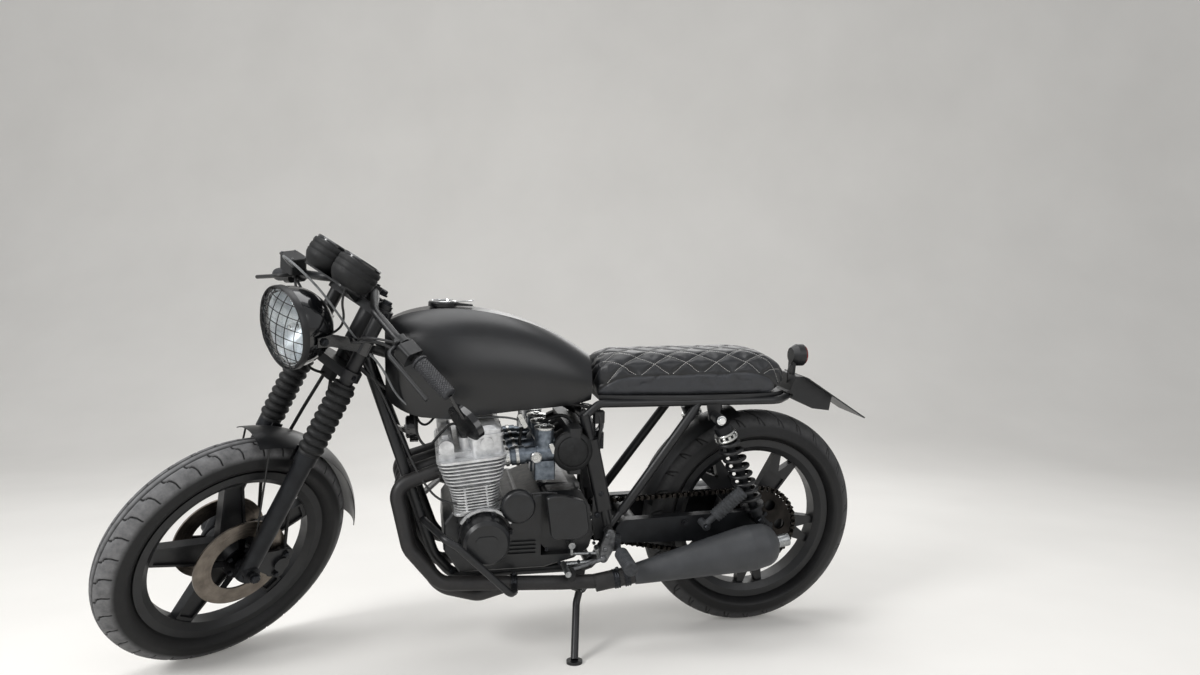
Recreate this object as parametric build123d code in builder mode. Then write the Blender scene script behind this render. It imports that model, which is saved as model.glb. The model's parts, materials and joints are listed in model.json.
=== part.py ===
from build123d import *
from math import atan2, cos, degrees, radians, sin, sqrt, tan
import os

# A cafe racer motorcycle with an inline four cylinder engine, parked on its side stand with the
# steering on its left stop. Every piece is drawn in the frame of the upright bike: x forward,
# y to the bike's left, z up, the origin on the ground under the rear axle. At the end the
# steered pieces turn about the steering head and the whole bike leans over. Millimetres, degrees.

# Driving dimensions of the rolling chassis
WHEELBASE = 1450
RAKE = 27.5
TRAIL = 113
STEERING_LOCK = 41
LEAN = 8
FRONT_TYRE_RADIUS = 322
FRONT_TYRE_WIDTH = 92
REAR_TYRE_RADIUS = 325
REAR_TYRE_WIDTH = 118
RIM_SEAT_RADIUS = 228.6
RIM_FLANGE = 14.4
FRONT_RIM_HALF = 27
REAR_RIM_HALF = 33
SPOKES = 5
FRONT_AXLE_RADIUS = 8
REAR_AXLE_RADIUS = 9
RUNNING_GAP = 0.05
SEAT_GAP = 0.3

# Driving dimensions of the fork, the lamp and the bar
FORK_HALF = 95
FORK_TUBE_RADIUS = 17.5
SLIDER_RADIUS = 24
SLIDER_TOP = 335
GAITER_TOP = 535
LOWER_YOKE = 548
UPPER_YOKE = 720
YOKE_THICKNESS = 24
STEM_RADIUS = 15
DISC_RADIUS = 120
DISC_INNER_RADIUS = 76
DISC_HALF = 60
DISC_THICKNESS = 5
LAMP_CENTRE = (1318, 928)
LAMP_RADIUS = 97
LAMP_DEPTH = 118
BAR_RADIUS = 11
GRIP_RADIUS = 16
GRIP_LENGTH = 120

# Driving dimensions of the frame, the engine and the bodywork
FRAME_TUBE = 14
GUARD_BAR_TUBE = 9
RAIL_TUBE = 11
CRADLE_HALF = 108
RAIL_HALF = 96
PIVOT = (459, 351)
ARM_INNER = 93
ARM_THICKNESS = 28
SHOCK_TOP = (162, 658)
SHOCK_EYE = (29, 368)
SHOCK_HALF = 142
CRANK = (797, 374)
CASE_HALF = 150
COVER_HALF = 185
CRANK_COVER_DEPTH = 58
CYLINDER_PITCH = 76
CYLINDER_LEAN = 6
DECK = (815, 437)
BLOCK_HEIGHT = 76
HEAD_HEIGHT = 66
HEAD_HALF = 192
BLOCK_HALF = 180
FIN = 3
BLOCK_FINS = 9
BLOCK_FIN_PITCH = 7.6
HEAD_FINS = 6
HEAD_FIN_PITCH = 9.4
FIN_CORNER = 34
PIPE_RADIUS = 19
MUFFLER_RADIUS = 62
TANK_WALL = 3
SEAT_FRONT = 488
SEAT_REAR = -70
SEAT_TOP = 830
SEAT_BOTTOM = 716
SEAT_HALF = 122
CHAIN_LINE = 79
SPROCKET_RADIUS = 104
SPROCKET_TEETH = 42
OUTPUT = (566, 372)
OUTPUT_RADIUS = 38

rake = radians(RAKE)
front_axle = Vector(WHEELBASE, 0, FRONT_TYRE_RADIUS)
rear_axle = Vector(0, 0, REAR_TYRE_RADIUS)
steering_axis = Vector(-sin(rake), 0, cos(rake))
steering_foot = Vector(WHEELBASE + TRAIL, 0, 0)
fork_forward = (cos(rake), 0, sin(rake))
FORK_OFFSET = (FRONT_TYRE_RADIUS * tan(rake) - TRAIL) * cos(rake)

# Parking: the fork turns to its left stop, the bike leans on its stand and pitches a little so
# that both tyres touch the ground

steering_shift = Location(steering_foot) * Location((0, 0, 0), steering_axis, STEERING_LOCK)
to_left_stop = steering_shift * Location(steering_foot).inverse()


def lowest(location, axle, radius, width):
    """How low the round crown of a tyre reaches at a location of the bike."""
    centre = (location * Location(axle)).position
    across = (location * Location(axle + Vector(0, 1, 0))).position - centre
    ring = radius - width / 2
    return centre.Z - ring * sqrt(1 - across.Z ** 2) - width / 2


nose = 0
for _ in range(4):
    posture = Location((0, 0, 0), (0, 1, 0), nose) * Location((0, 0, 0), (1, 0, 0), -LEAN)
    front_low = lowest(posture * to_left_stop, front_axle, FRONT_TYRE_RADIUS, FRONT_TYRE_WIDTH)
    rear_low = lowest(posture, rear_axle, REAR_TYRE_RADIUS, REAR_TYRE_WIDTH)
    nose += degrees((front_low - rear_low) / WHEELBASE)
upright_to_ground = Location((0, 0, -rear_low)) * posture

pieces = {}
steered = set()


def keep(name, part, on_fork=False):
    """Files a finished piece under its name, and notes whether it turns with the fork."""
    pieces[name] = part
    if on_fork:
        steered.add(name)


def fork_level(s, y=0, u=0):
    """A plane square to the fork legs, s above the front axle, y to the left, u in front."""
    middle = front_axle + steering_axis * s + Vector(*fork_forward) * u + Vector(0, y, 0)
    return Plane(origin=middle, x_dir=fork_forward, z_dir=steering_axis)


def side(y):
    """The upright side plane at y: sketch x is x, sketch y is z, and it extrudes to the right."""
    return Plane.XZ.offset(-y)


def tube(points, radius, bend):
    """A round bar along straight runs, with each corner bent to the radius bend."""
    with BuildPart() as bar:
        with BuildLine() as path:
            if len(points) == 2:
                Polyline(*points)
            else:
                FilletPolyline(*points, radius=bend)
        with BuildSketch(Plane(origin=path.line @ 0, z_dir=path.line % 0)):
            Circle(radius)
        sweep(path=path.line)
    return bar.part


def cap_arc(edge, tip):
    """An arc of a ball centred on the sketch's x axis, from the edge (x, radius) to the tip x."""
    rise = tip - edge[0]
    size = (edge[1] ** 2 + rise ** 2) / (2 * rise)
    centre = tip - size
    start = degrees(atan2(edge[1], edge[0] - centre))
    return CenterArc((centre, 0), abs(size), start, (0 if rise > 0 else 180) - start)


def slab(outline, y_low, y_high):
    """A plate with a straight-sided outline in x and z, from y_low to y_high."""
    with BuildPart() as plate:
        with BuildSketch(side(y_high)):
            Polygon(*outline, align=None)
        extrude(amount=y_high - y_low)
    return plate.part


def barrel(x, z, radius, y_low, y_high):
    """A round bar across the bike, centred at x and z, from y_low to y_high."""
    with BuildPart() as bar:
        with BuildSketch(side(y_high)):
            with Locations((x, z)):
                Circle(radius)
        extrude(amount=y_high - y_low)
    return bar.part


def mirrored(points):
    """The same points on the other side of the bike."""
    return [(x, -y, z) for x, y, z in points]


def both_sides(points, radius, bend):
    """Two round bars, one on each side of the bike."""
    return [tube(points, radius, bend), tube(mirrored(points), radius, bend)]


# Wheels: five pressed spokes between a hub and a rim that the tyre's beads sit in


def tyre(axle, radius, width, rim_half):
    """A solid ring with a round crown, its beads between the rim's flanges."""
    bead = RIM_SEAT_RADIUS + SEAT_GAP
    lip = RIM_SEAT_RADIUS + RIM_FLANGE + 1
    edge = rim_half - SEAT_GAP
    shoulder = radius - width / 2
    with BuildPart() as ring:
        with BuildSketch(Plane(origin=axle, x_dir=(1, 0, 0), z_dir=(0, 0, 1))):
            with BuildLine():
                Polyline((lip, edge), (bead, edge), (bead, -edge), (lip, -edge))
                Line((lip, -edge), (shoulder, -width / 2))
                ThreePointArc((shoulder, -width / 2), (radius, 0), (shoulder, width / 2))
                Line((shoulder, width / 2), (lip, edge))
            make_face()
        revolve(axis=Axis(axle, (0, 1, 0)))
    return ring.part


SPOKE_HALF = 14
SPOKE_RIB = 6
SPOKE_POCKET = 7
RIM_WELL = RIM_SEAT_RADIUS - 16
SPOKE_END = RIM_WELL - 5


def spoke(low, root, tip, notch):
    """The outline of a spoke along x, from radius low out to the rim, with a notch that forks its end."""
    half = [(low, root), (SPOKE_END, tip)]
    if notch:
        half += [(SPOKE_END, tip - 18), (SPOKE_END - notch, 0)]
    return half + [(x, -y) for x, y in reversed(half) if y]


def pocket(low, root, tip, notch):
    """The recess in a spoke's side, a rib's width inside the spoke's outline."""
    start = low + 3 * SPOKE_RIB
    end = SPOKE_END - 2 * SPOKE_RIB - notch
    slope = (tip - root) / (SPOKE_END - low)
    half = [(x, root + slope * (x - low) - SPOKE_RIB) for x in (start, end)]
    return half + [(x, -y) for x, y in reversed(half)]


def wheel(axle, rim_half, hub, spokes, bore, turn):
    """Rim, hub and five pressed spokes with raised edges, as one wheel. hub is its radius and half
    width, and spokes the spoke's half width at the hub, at the rim, and the depth of its fork."""
    hub_radius, hub_half = hub
    root, tip, notch = spokes
    seat = RIM_SEAT_RADIUS
    flange = seat + RIM_FLANGE
    lip = 4
    middle = Plane(origin=axle, x_dir=(1, 0, 0), z_dir=(0, -1, 0))
    low = hub_radius - 8
    with BuildPart() as body:
        with BuildSketch(Plane(origin=axle, x_dir=(1, 0, 0), z_dir=(0, 0, 1))):
            with BuildLine():
                Polyline(
                    (flange, rim_half), (seat, rim_half), (RIM_WELL, rim_half - 14),
                    (RIM_WELL, 14 - rim_half), (seat, -rim_half), (flange, -rim_half),
                    (flange, -rim_half - lip), (seat - 5, -rim_half - lip),
                    (RIM_WELL - 6, 10 - rim_half), (RIM_WELL - 6, rim_half - 10),
                    (seat - 5, rim_half + lip), (flange, rim_half + lip), close=True,
                )
            make_face()
        revolve(axis=Axis(axle, (0, 1, 0)))
        with BuildSketch(middle):
            with PolarLocations(0, SPOKES, start_angle=turn):
                Polygon(*spoke(low, root, tip, notch), align=None)
        extrude(amount=SPOKE_HALF, both=True)
        for outward in (1, -1):
            with BuildSketch(middle.offset(outward * SPOKE_HALF)):
                with PolarLocations(0, SPOKES, start_angle=turn):
                    Polygon(*pocket(low, root, tip, notch), align=None)
            extrude(amount=-outward * SPOKE_POCKET, mode=Mode.SUBTRACT)
        with BuildSketch(middle):
            Circle(hub_radius)
        extrude(amount=hub_half, both=True)
        with BuildSketch(middle):
            Circle(hub_radius + 12)
        extrude(amount=SPOKE_HALF + 4, both=True)
        with BuildSketch(middle):
            Circle(bore + RUNNING_GAP)
        extrude(amount=hub_half, both=True, mode=Mode.SUBTRACT)
    return body.part


FRONT_HUB_HALF = DISC_HALF - DISC_THICKNESS / 2 - SEAT_GAP
REAR_HUB_HALF = 62
keep("front_tyre", tyre(front_axle, FRONT_TYRE_RADIUS, FRONT_TYRE_WIDTH, FRONT_RIM_HALF), True)
keep("rear_tyre", tyre(rear_axle, REAR_TYRE_RADIUS, REAR_TYRE_WIDTH, REAR_RIM_HALF))
FRONT_SPOKES = (36, 24, 0)
REAR_SPOKES = (30, 40, 46)
front_wheel = wheel(
    front_axle, FRONT_RIM_HALF, (42, FRONT_HUB_HALF), FRONT_SPOKES, FRONT_AXLE_RADIUS, 20
)
keep("front_wheel", front_wheel, True)
rear_wheel = wheel(
    rear_axle, REAR_RIM_HALF, (84, REAR_HUB_HALF), REAR_SPOKES, REAR_AXLE_RADIUS, 50
)
keep("rear_wheel", rear_wheel)

with BuildPart() as brake_discs:
    for y in (DISC_HALF, -DISC_HALF):
        with BuildSketch(Plane(origin=front_axle + Vector(0, y, 0), x_dir=(1, 0, 0), z_dir=(0, -1, 0))):
            Circle(DISC_RADIUS)
            Circle(DISC_INNER_RADIUS, mode=Mode.SUBTRACT)
        extrude(amount=DISC_THICKNESS / 2, both=True)
        with BuildSketch(Plane(origin=front_axle + Vector(0, y, 0), x_dir=(1, 0, 0), z_dir=(0, -1, 0))):
            with PolarLocations((DISC_INNER_RADIUS + 42) / 2, SPOKES, start_angle=20):
                Rectangle(DISC_INNER_RADIUS - 36, 16)
            Circle(44)
            Circle(FRONT_AXLE_RADIUS + 8, mode=Mode.SUBTRACT)
        extrude(amount=DISC_THICKNESS / 2, both=True)
keep("brake_discs", brake_discs.part, True)

with BuildPart() as rear_sprocket:
    with BuildSketch(Plane(origin=rear_axle + Vector(0, CHAIN_LINE, 0), x_dir=(1, 0, 0), z_dir=(0, -1, 0))):
        Circle(SPROCKET_RADIUS)
        with PolarLocations(SPROCKET_RADIUS + 1.5, SPROCKET_TEETH):
            Circle(5, mode=Mode.SUBTRACT)
        with PolarLocations(66, 6):
            Circle(16, mode=Mode.SUBTRACT)
        Circle(24, mode=Mode.SUBTRACT)
    extrude(amount=4, both=True)
    with BuildSketch(Plane(origin=rear_axle + Vector(0, REAR_HUB_HALF, 0), x_dir=(1, 0, 0), z_dir=(0, 1, 0))):
        Circle(46)
        Circle(24, mode=Mode.SUBTRACT)
    extrude(amount=CHAIN_LINE - REAR_HUB_HALF - 4)
keep("rear_sprocket", rear_sprocket.part)

# Fork: yokes with the tubes, sliders with the axle, bellows, calipers and mudguard

with BuildPart() as fork_yokes:
    for level, boss in ((LOWER_YOKE, 27), (UPPER_YOKE, 25)):
        with BuildSketch(fork_level(level)):
            with Locations((0, FORK_HALF), (0, -FORK_HALF)):
                Circle(boss)
            with Locations((-FORK_OFFSET, 0)):
                Circle(boss + 4)
            make_hull()
        extrude(amount=YOKE_THICKNESS)
    with BuildSketch(fork_level(LOWER_YOKE, u=-FORK_OFFSET)):
        Circle(STEM_RADIUS)
    extrude(amount=UPPER_YOKE - LOWER_YOKE + YOKE_THICKNESS + 10)
    with BuildSketch(fork_level(SLIDER_TOP - 40)):
        with Locations((0, FORK_HALF), (0, -FORK_HALF)):
            Circle(FORK_TUBE_RADIUS)
    extrude(amount=UPPER_YOKE + YOKE_THICKNESS + 12 - SLIDER_TOP + 40)
keep("fork_yokes", fork_yokes.part, True)

with BuildPart() as fork_sliders:
    for y in (FORK_HALF, -FORK_HALF):
        with BuildSketch(fork_level(-26, y)):
            Circle(SLIDER_RADIUS - 3)
        with BuildSketch(fork_level(60, y)):
            Circle(SLIDER_RADIUS - 1)
        loft()
        with BuildSketch(fork_level(60, y)):
            Circle(SLIDER_RADIUS - 1)
        extrude(amount=SLIDER_TOP - 60)
        with BuildSketch(fork_level(SLIDER_TOP - 26, y)):
            Circle(SLIDER_RADIUS + 3)
        extrude(amount=26)
        with BuildSketch(side(y)):
            with Locations((front_axle.X, front_axle.Z)):
                Circle(20)
        extrude(amount=SLIDER_RADIUS + 1, both=True)
        with BuildSketch(fork_level(SLIDER_TOP - 41, y)):
            Circle(FORK_TUBE_RADIUS + SEAT_GAP)
        extrude(amount=50, mode=Mode.SUBTRACT)
    with BuildSketch(side(0)):
        with Locations((front_axle.X, front_axle.Z)):
            Circle(FRONT_AXLE_RADIUS)
    extrude(amount=FORK_HALF + SLIDER_RADIUS + 12, both=True)
keep("fork_sliders", fork_sliders.part, True)

with BuildPart() as fork_gaiters:
    for y in (FORK_HALF, -FORK_HALF):
        folds = 8
        pitch = (GAITER_TOP - SLIDER_TOP - SEAT_GAP) / folds
        start = SLIDER_TOP + SEAT_GAP
        outline = [(FORK_TUBE_RADIUS + SEAT_GAP, 0)]
        for i in range(folds):
            outline.append((26, i * pitch + pitch * 0.1))
            outline.append((32, i * pitch + pitch * 0.5))
            outline.append((26, i * pitch + pitch * 0.9))
        outline.append((FORK_TUBE_RADIUS + SEAT_GAP, folds * pitch))
        level = fork_level(start, y)
        with BuildSketch(Plane(origin=level.origin, x_dir=level.x_dir, z_dir=(0, -1, 0))):
            Polygon(*outline, align=None)
        revolve(axis=Axis(level.origin, level.z_dir))
keep("fork_gaiters", fork_gaiters.part, True)

CALIPER = (-100, 14)
CALIPER_HALF = 20
with BuildPart() as brake_calipers:
    for outward in (1, -1):
        middle = front_axle + Vector(0, outward * DISC_HALF, 0)
        disc_side = Plane(origin=middle, x_dir=fork_forward, z_dir=(0, outward, 0))
        turned = 1 if disc_side.y_dir.Z > 0 else -1
        with BuildSketch(disc_side):
            with Locations((CALIPER[0], turned * CALIPER[1])):
                RectangleRounded(50, 84, 12)
        extrude(amount=CALIPER_HALF, both=True)
        with BuildSketch(disc_side.offset(CALIPER_HALF)):
            with Locations((CALIPER[0], turned * CALIPER[1])):
                Circle(20)
        extrude(amount=9)
        with BuildSketch(disc_side.offset(CALIPER_HALF)):
            for z in (-30, 30):
                with Locations((CALIPER[0], turned * (CALIPER[1] + z))):
                    Circle(9)
        extrude(amount=4)
        bracket = [(-76, -22), (-10, -2), (-10, 34), (-76, 50)]
        with BuildSketch(disc_side.offset(CALIPER_HALF - 8)):
            Polygon(*[(x, turned * z) for x, z in bracket], align=None)
        extrude(amount=8)
        with BuildSketch(disc_side):
            Circle(DISC_RADIUS + 5)
        extrude(amount=DISC_THICKNESS / 2 + 5, both=True, mode=Mode.SUBTRACT)
    add(fork_sliders.part, mode=Mode.SUBTRACT)
keep("brake_calipers", brake_calipers.part, True)


GUARD_FROM = 98.5
GUARD_TO = 184
GUARD_RADIUS = 346
GUARD_HALF = 58
GUARD_WALL = 2.5


def guard(axle, radius, half, drop, start, sweep_angle):
    """An arched mudguard, its section drawn at the start angle and turned about the axle."""
    a = radians(start)
    with BuildPart() as shell:
        with BuildSketch(Plane(origin=axle, x_dir=(cos(a), 0, sin(a)), z_dir=(-sin(a), 0, cos(a)))):
            with BuildLine():
                ThreePointArc((radius - drop, -half), (radius, 0), (radius - drop, half))
                Line((radius - drop, half), (radius - drop + 1, half + GUARD_WALL))
                ThreePointArc(
                    (radius - drop + 1, half + GUARD_WALL), (radius + GUARD_WALL, 0),
                    (radius - drop + 1, -half - GUARD_WALL),
                )
                Line((radius - drop + 1, -half - GUARD_WALL), (radius - drop, -half))
            make_face()
        revolve(axis=Axis(axle, (0, -1, 0)), revolution_arc=sweep_angle)
    return shell.part


TAB_LEVEL = 318
STAY_RADIUS = 2.5
stay_head = (front_axle.X - 72, GUARD_HALF + 2, front_axle.Z + 318)
stay_foot = (front_axle.X - 30, FORK_HALF - SLIDER_RADIUS + 5, front_axle.Z + 62)
guard_stays = both_sides([stay_head, stay_foot], STAY_RADIUS, 0)
with BuildPart() as front_mudguard:
    for stay in guard_stays:
        add(stay)
    add(fork_sliders.part, mode=Mode.SUBTRACT)
    add(guard(front_axle, GUARD_RADIUS, GUARD_HALF, 20, GUARD_FROM, GUARD_TO - GUARD_FROM))
    for outward in (1, -1):
        y = outward * (GUARD_HALF + GUARD_WALL)
        tab = fork_level(TAB_LEVEL, y)
        with BuildSketch(Plane(origin=tab.origin, x_dir=fork_forward, z_dir=(0, -1, 0))):
            Rectangle(30, 44)
        extrude(amount=1.5, both=True)
        with BuildSketch(Plane(origin=tab.origin, x_dir=fork_forward, z_dir=(0, outward, 0))):
            Circle(8)
        extrude(amount=FORK_HALF - SLIDER_RADIUS - 3 - GUARD_HALF - GUARD_WALL - SEAT_GAP)
keep("front_mudguard", front_mudguard.part, True)

# Head lamp: a bowl held by two ears on the fork tubes, its lens and a domed wire guard

lamp_x, lamp_z = LAMP_CENTRE
lamp_axis = Axis((lamp_x, 0, lamp_z), (1, 0, 0))
lamp_plane = Plane(origin=(lamp_x, 0, lamp_z), x_dir=(1, 0, 0), z_dir=(0, 0, 1))
LAMP_WALL = 4
EAR_LEVEL = 620
with BuildPart() as headlight_shell:
    with BuildSketch(lamp_plane):
        with BuildLine():
            Line((0, LAMP_RADIUS), (-14, LAMP_RADIUS))
            cap_arc((-14, LAMP_RADIUS), -LAMP_DEPTH)
            Line((-LAMP_DEPTH, 0), (-LAMP_DEPTH + LAMP_WALL, 0))
            cap_arc((-14, LAMP_RADIUS - LAMP_WALL), -LAMP_DEPTH + LAMP_WALL)
            Line((-14, LAMP_RADIUS - LAMP_WALL), (0, LAMP_RADIUS - LAMP_WALL))
            Line((0, LAMP_RADIUS - LAMP_WALL), (0, LAMP_RADIUS))
        make_face()
    revolve(axis=lamp_axis)
    for outward in (1, -1):
        y = outward * FORK_HALF
        grip = fork_level(EAR_LEVEL, y)
        with BuildSketch(grip):
            Circle(FORK_TUBE_RADIUS + 6)
        extrude(amount=34)
        ear = [
            (grip.origin.X, grip.origin.Z + 4), (grip.origin.X - 16, grip.origin.Z + 34),
            (lamp_x - 66, lamp_z + 16), (lamp_x - 30, lamp_z + 12), (lamp_x - 30, lamp_z - 12),
            (lamp_x - 66, lamp_z - 16),
        ]
        with BuildSketch(side(outward * (LAMP_RADIUS + 6))):
            Polygon(*ear, align=None)
        extrude(amount=2, both=True)
        with BuildSketch(side(outward * (LAMP_RADIUS - 12))):
            with Locations((lamp_x - 46, lamp_z)):
                Circle(9)
        extrude(amount=-outward * 20)
        with BuildSketch(fork_level(EAR_LEVEL - 2, y)):
            Circle(FORK_TUBE_RADIUS + SEAT_GAP)
        extrude(amount=40, mode=Mode.SUBTRACT)
keep("headlight_shell", headlight_shell.part, True)

lens_radius = LAMP_RADIUS - LAMP_WALL - SEAT_GAP
with BuildPart() as headlight_lens:
    with BuildSketch(lamp_plane):
        with BuildLine():
            Polyline((9, 0), (-8, 0), (-8, lens_radius), (-1, lens_radius))
            cap_arc((-1, lens_radius), 9)
        make_face()
    revolve(axis=lamp_axis)
keep("headlight_lens", headlight_lens.part, True)

GUARD_BULGE = 34
wire = 2.4
guard_edge = LAMP_RADIUS + 5
with BuildPart() as headlight_grille:
    with BuildSketch(lamp_plane):
        with BuildLine():
            Line((GUARD_BULGE, 0), (GUARD_BULGE - wire, 0))
            cap_arc((2, guard_edge - wire), GUARD_BULGE - wire)
            Line((2, guard_edge - wire), (2, guard_edge))
            cap_arc((2, guard_edge), GUARD_BULGE)
        make_face()
    revolve(axis=lamp_axis)
    with BuildSketch(Plane(origin=(lamp_x, 0, lamp_z), x_dir=(0, 1, 0), z_dir=(1, 0, 0))):
        for turn in (45, -45):
            with Locations(Rotation(0, 0, turn)):
                with GridLocations(0, 26, 1, 7):
                    Rectangle(3 * LAMP_RADIUS, wire)
    extrude(amount=GUARD_BULGE + 4, mode=Mode.INTERSECT)
    with BuildSketch(Plane(origin=(lamp_x - 12, 0, lamp_z), x_dir=(0, 1, 0), z_dir=(1, 0, 0))):
        Circle(guard_edge)
        Circle(LAMP_RADIUS + SEAT_GAP, mode=Mode.SUBTRACT)
    extrude(amount=18)
keep("headlight_grille", headlight_grille.part, True)

# Instruments, handlebar and what the bar carries

GAUGE_CENTRE = (1172, 1065)
GAUGE_HALF = 57
GAUGE_RADIUS = 47
GAUGE_DEPTH = 72
GAUGE_TILT = 35
tilt = radians(GAUGE_TILT)
gauge_axis = Vector(-sin(tilt), 0, cos(tilt))
gauge_in = (cos(tilt), 0, sin(tilt))
with BuildPart() as gauges:
    for y in (GAUGE_HALF, -GAUGE_HALF):
        middle = Vector(GAUGE_CENTRE[0], y, GAUGE_CENTRE[1])
        low = middle - gauge_axis * (GAUGE_DEPTH / 2)
        with BuildSketch(Plane(origin=low, x_dir=gauge_in, z_dir=gauge_axis)):
            Circle(GAUGE_RADIUS - 10)
        with BuildSketch(Plane(origin=low + gauge_axis * 22, x_dir=gauge_in, z_dir=gauge_axis)):
            Circle(GAUGE_RADIUS - 1)
        loft()
        with BuildSketch(Plane(origin=low + gauge_axis * 22, x_dir=gauge_in, z_dir=gauge_axis)):
            Circle(GAUGE_RADIUS - 1)
        extrude(amount=GAUGE_DEPTH - 22)
        with BuildSketch(Plane(origin=low + gauge_axis * 58, x_dir=gauge_in, z_dir=gauge_axis)):
            Circle(GAUGE_RADIUS + 2)
        extrude(amount=GAUGE_DEPTH - 54)
        with BuildSketch(Plane(origin=low + gauge_axis * 66, x_dir=gauge_in, z_dir=gauge_axis)):
            Circle(GAUGE_RADIUS - 3)
        extrude(amount=20, mode=Mode.SUBTRACT)
    with BuildSketch(Plane(origin=middle - gauge_axis * 39, x_dir=gauge_in, z_dir=gauge_axis)):
        with Locations((0, GAUGE_HALF)):
            RectangleRounded(70, 2 * GAUGE_HALF + 60, 14)
    extrude(amount=4)
    stalk = [(1128, 988), (1152, 1012), (1164, 1016), (1168, 1008), (1141, 976)]
    with BuildSketch(side(20)):
        Polygon(*stalk, align=None)
    extrude(amount=40)
    add(fork_yokes.part, mode=Mode.SUBTRACT)
keep("gauges", gauges.part, True)

bar_middle = fork_level(UPPER_YOKE + YOKE_THICKNESS + 24, 0, 4).origin
BAR_REACH = [(bar_middle.X, 42, bar_middle.Z), (1150, 118, 992), (1150, 205, 966), (1122, 388, 892)]
bar_tip = Vector(*BAR_REACH[-1])
bar_run = (bar_tip - Vector(*BAR_REACH[-2])).normalized()
bent_bar = tube(mirrored(BAR_REACH[::-1]) + BAR_REACH, BAR_RADIUS, 30)
with BuildPart() as handlebar:
    add(bent_bar)
    for y in (30, -30):
        with BuildSketch(fork_level(UPPER_YOKE + YOKE_THICKNESS, y, 4)):
            RectangleRounded(36, 22, 4)
        extrude(amount=40)
    add(fork_yokes.part, mode=Mode.SUBTRACT)
keep("handlebar", handlebar.part, True)


def bar_plane(from_tip, outward):
    """A plane square to the bar's outer run, from_tip inwards from its end, facing the middle."""
    middle = bar_tip - bar_run * from_tip
    return Plane(
        origin=(middle.X, outward * middle.Y, middle.Z),
        x_dir=(1, 0, 0), z_dir=(-bar_run.X, -outward * bar_run.Y, -bar_run.Z),
    )


with BuildPart() as grips:
    for outward in (1, -1):
        with BuildSketch(bar_plane(-4, outward)):
            Circle(GRIP_RADIUS)
        extrude(amount=GRIP_LENGTH)
        with BuildSketch(bar_plane(0, outward)):
            Circle(BAR_RADIUS + SEAT_GAP)
        extrude(amount=GRIP_LENGTH, mode=Mode.SUBTRACT)
        with BuildSketch(bar_plane(GRIP_LENGTH - 10, outward)):
            Circle(GRIP_RADIUS + 5)
            Circle(BAR_RADIUS + SEAT_GAP, mode=Mode.SUBTRACT)
        extrude(amount=5)
keep("grips", grips.part, True)

with BuildPart() as bar_pods:
    for outward in (1, -1):
        with BuildSketch(bar_plane(GRIP_LENGTH + 2, outward)):
            with Locations((6, 0)):
                RectangleRounded(48, 42, 8)
            Circle(BAR_RADIUS + SEAT_GAP, mode=Mode.SUBTRACT)
        extrude(amount=38)
        with BuildSketch(bar_plane(GRIP_LENGTH + 46, outward)):
            Circle(BAR_RADIUS + 7)
            Circle(BAR_RADIUS + SEAT_GAP, mode=Mode.SUBTRACT)
        extrude(amount=20)
lever_tubes = []
for outward in (1, -1):
    perch = bar_plane(GRIP_LENGTH + 50, outward).origin + Vector(16, 0, 0)
    reach = bar_plane(GRIP_LENGTH + 30, outward).origin + Vector(56, 0, 2)
    tip = bar_plane(0, outward).origin + Vector(62, 0, 0)
    lever_tubes.append(tube([perch, reach, tip], 5.5, 20))
reservoir_seat = bar_plane(GRIP_LENGTH + 56, -1).origin
with BuildPart() as bar_controls:
    add(bar_pods.part)
    for lever in lever_tubes:
        add(lever)
    with BuildSketch(Plane.XY.offset(reservoir_seat.Z + BAR_RADIUS + 3)):
        with Locations((reservoir_seat.X + 24, reservoir_seat.Y + 4)):
            RectangleRounded(46, 62, 8)
    extrude(amount=38)
    add(handlebar.part, mode=Mode.SUBTRACT)
keep("bar_controls", bar_controls.part, True)

MIRROR_CENTRE = (1066, 398, 806)
mirror_stem = tube(
    [tuple(bar_tip + bar_run * 6), (1112, 404, 868), (1082, 404, 826)], 5, 12
)
with BuildPart() as bar_end_mirror:
    add(mirror_stem)
    with BuildSketch(Plane(origin=MIRROR_CENTRE, x_dir=(0, 1, 0), z_dir=(-0.94, 0, 0.34))):
        Ellipse(58, 40)
    extrude(amount=8, both=True)
    add(grips.part, mode=Mode.SUBTRACT)
keep("bar_end_mirror", bar_end_mirror.part, True)

HOSE_RADIUS = 4.5
hose_parts = []
for outward in (1, -1):
    y = outward
    caliper_top = fork_level(58, y * 70, -96).origin
    beside_slider = fork_level(170, y * 72, -46).origin
    beside_gaiter = fork_level(400, y * 52, -42).origin
    union = fork_level(520, y * 14, -20).origin
    hose_parts.append(tube([caliper_top, beside_slider, beside_gaiter, union], HOSE_RADIUS, 60))
with BuildPart() as brake_hoses:
    for hose in hose_parts:
        add(hose)
    with BuildSketch(fork_level(512, 0, -20)):
        RectangleRounded(22, 44, 4)
    extrude(amount=LOWER_YOKE - 512)
    for fitting in (fork_yokes, fork_sliders, brake_calipers, front_mudguard):
        add(fitting.part, mode=Mode.SUBTRACT)
keep("brake_hoses", brake_hoses.part, True)

# Frame: steering head, spine, cradle and uprights, with the pivot plates and the stand's lug

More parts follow.
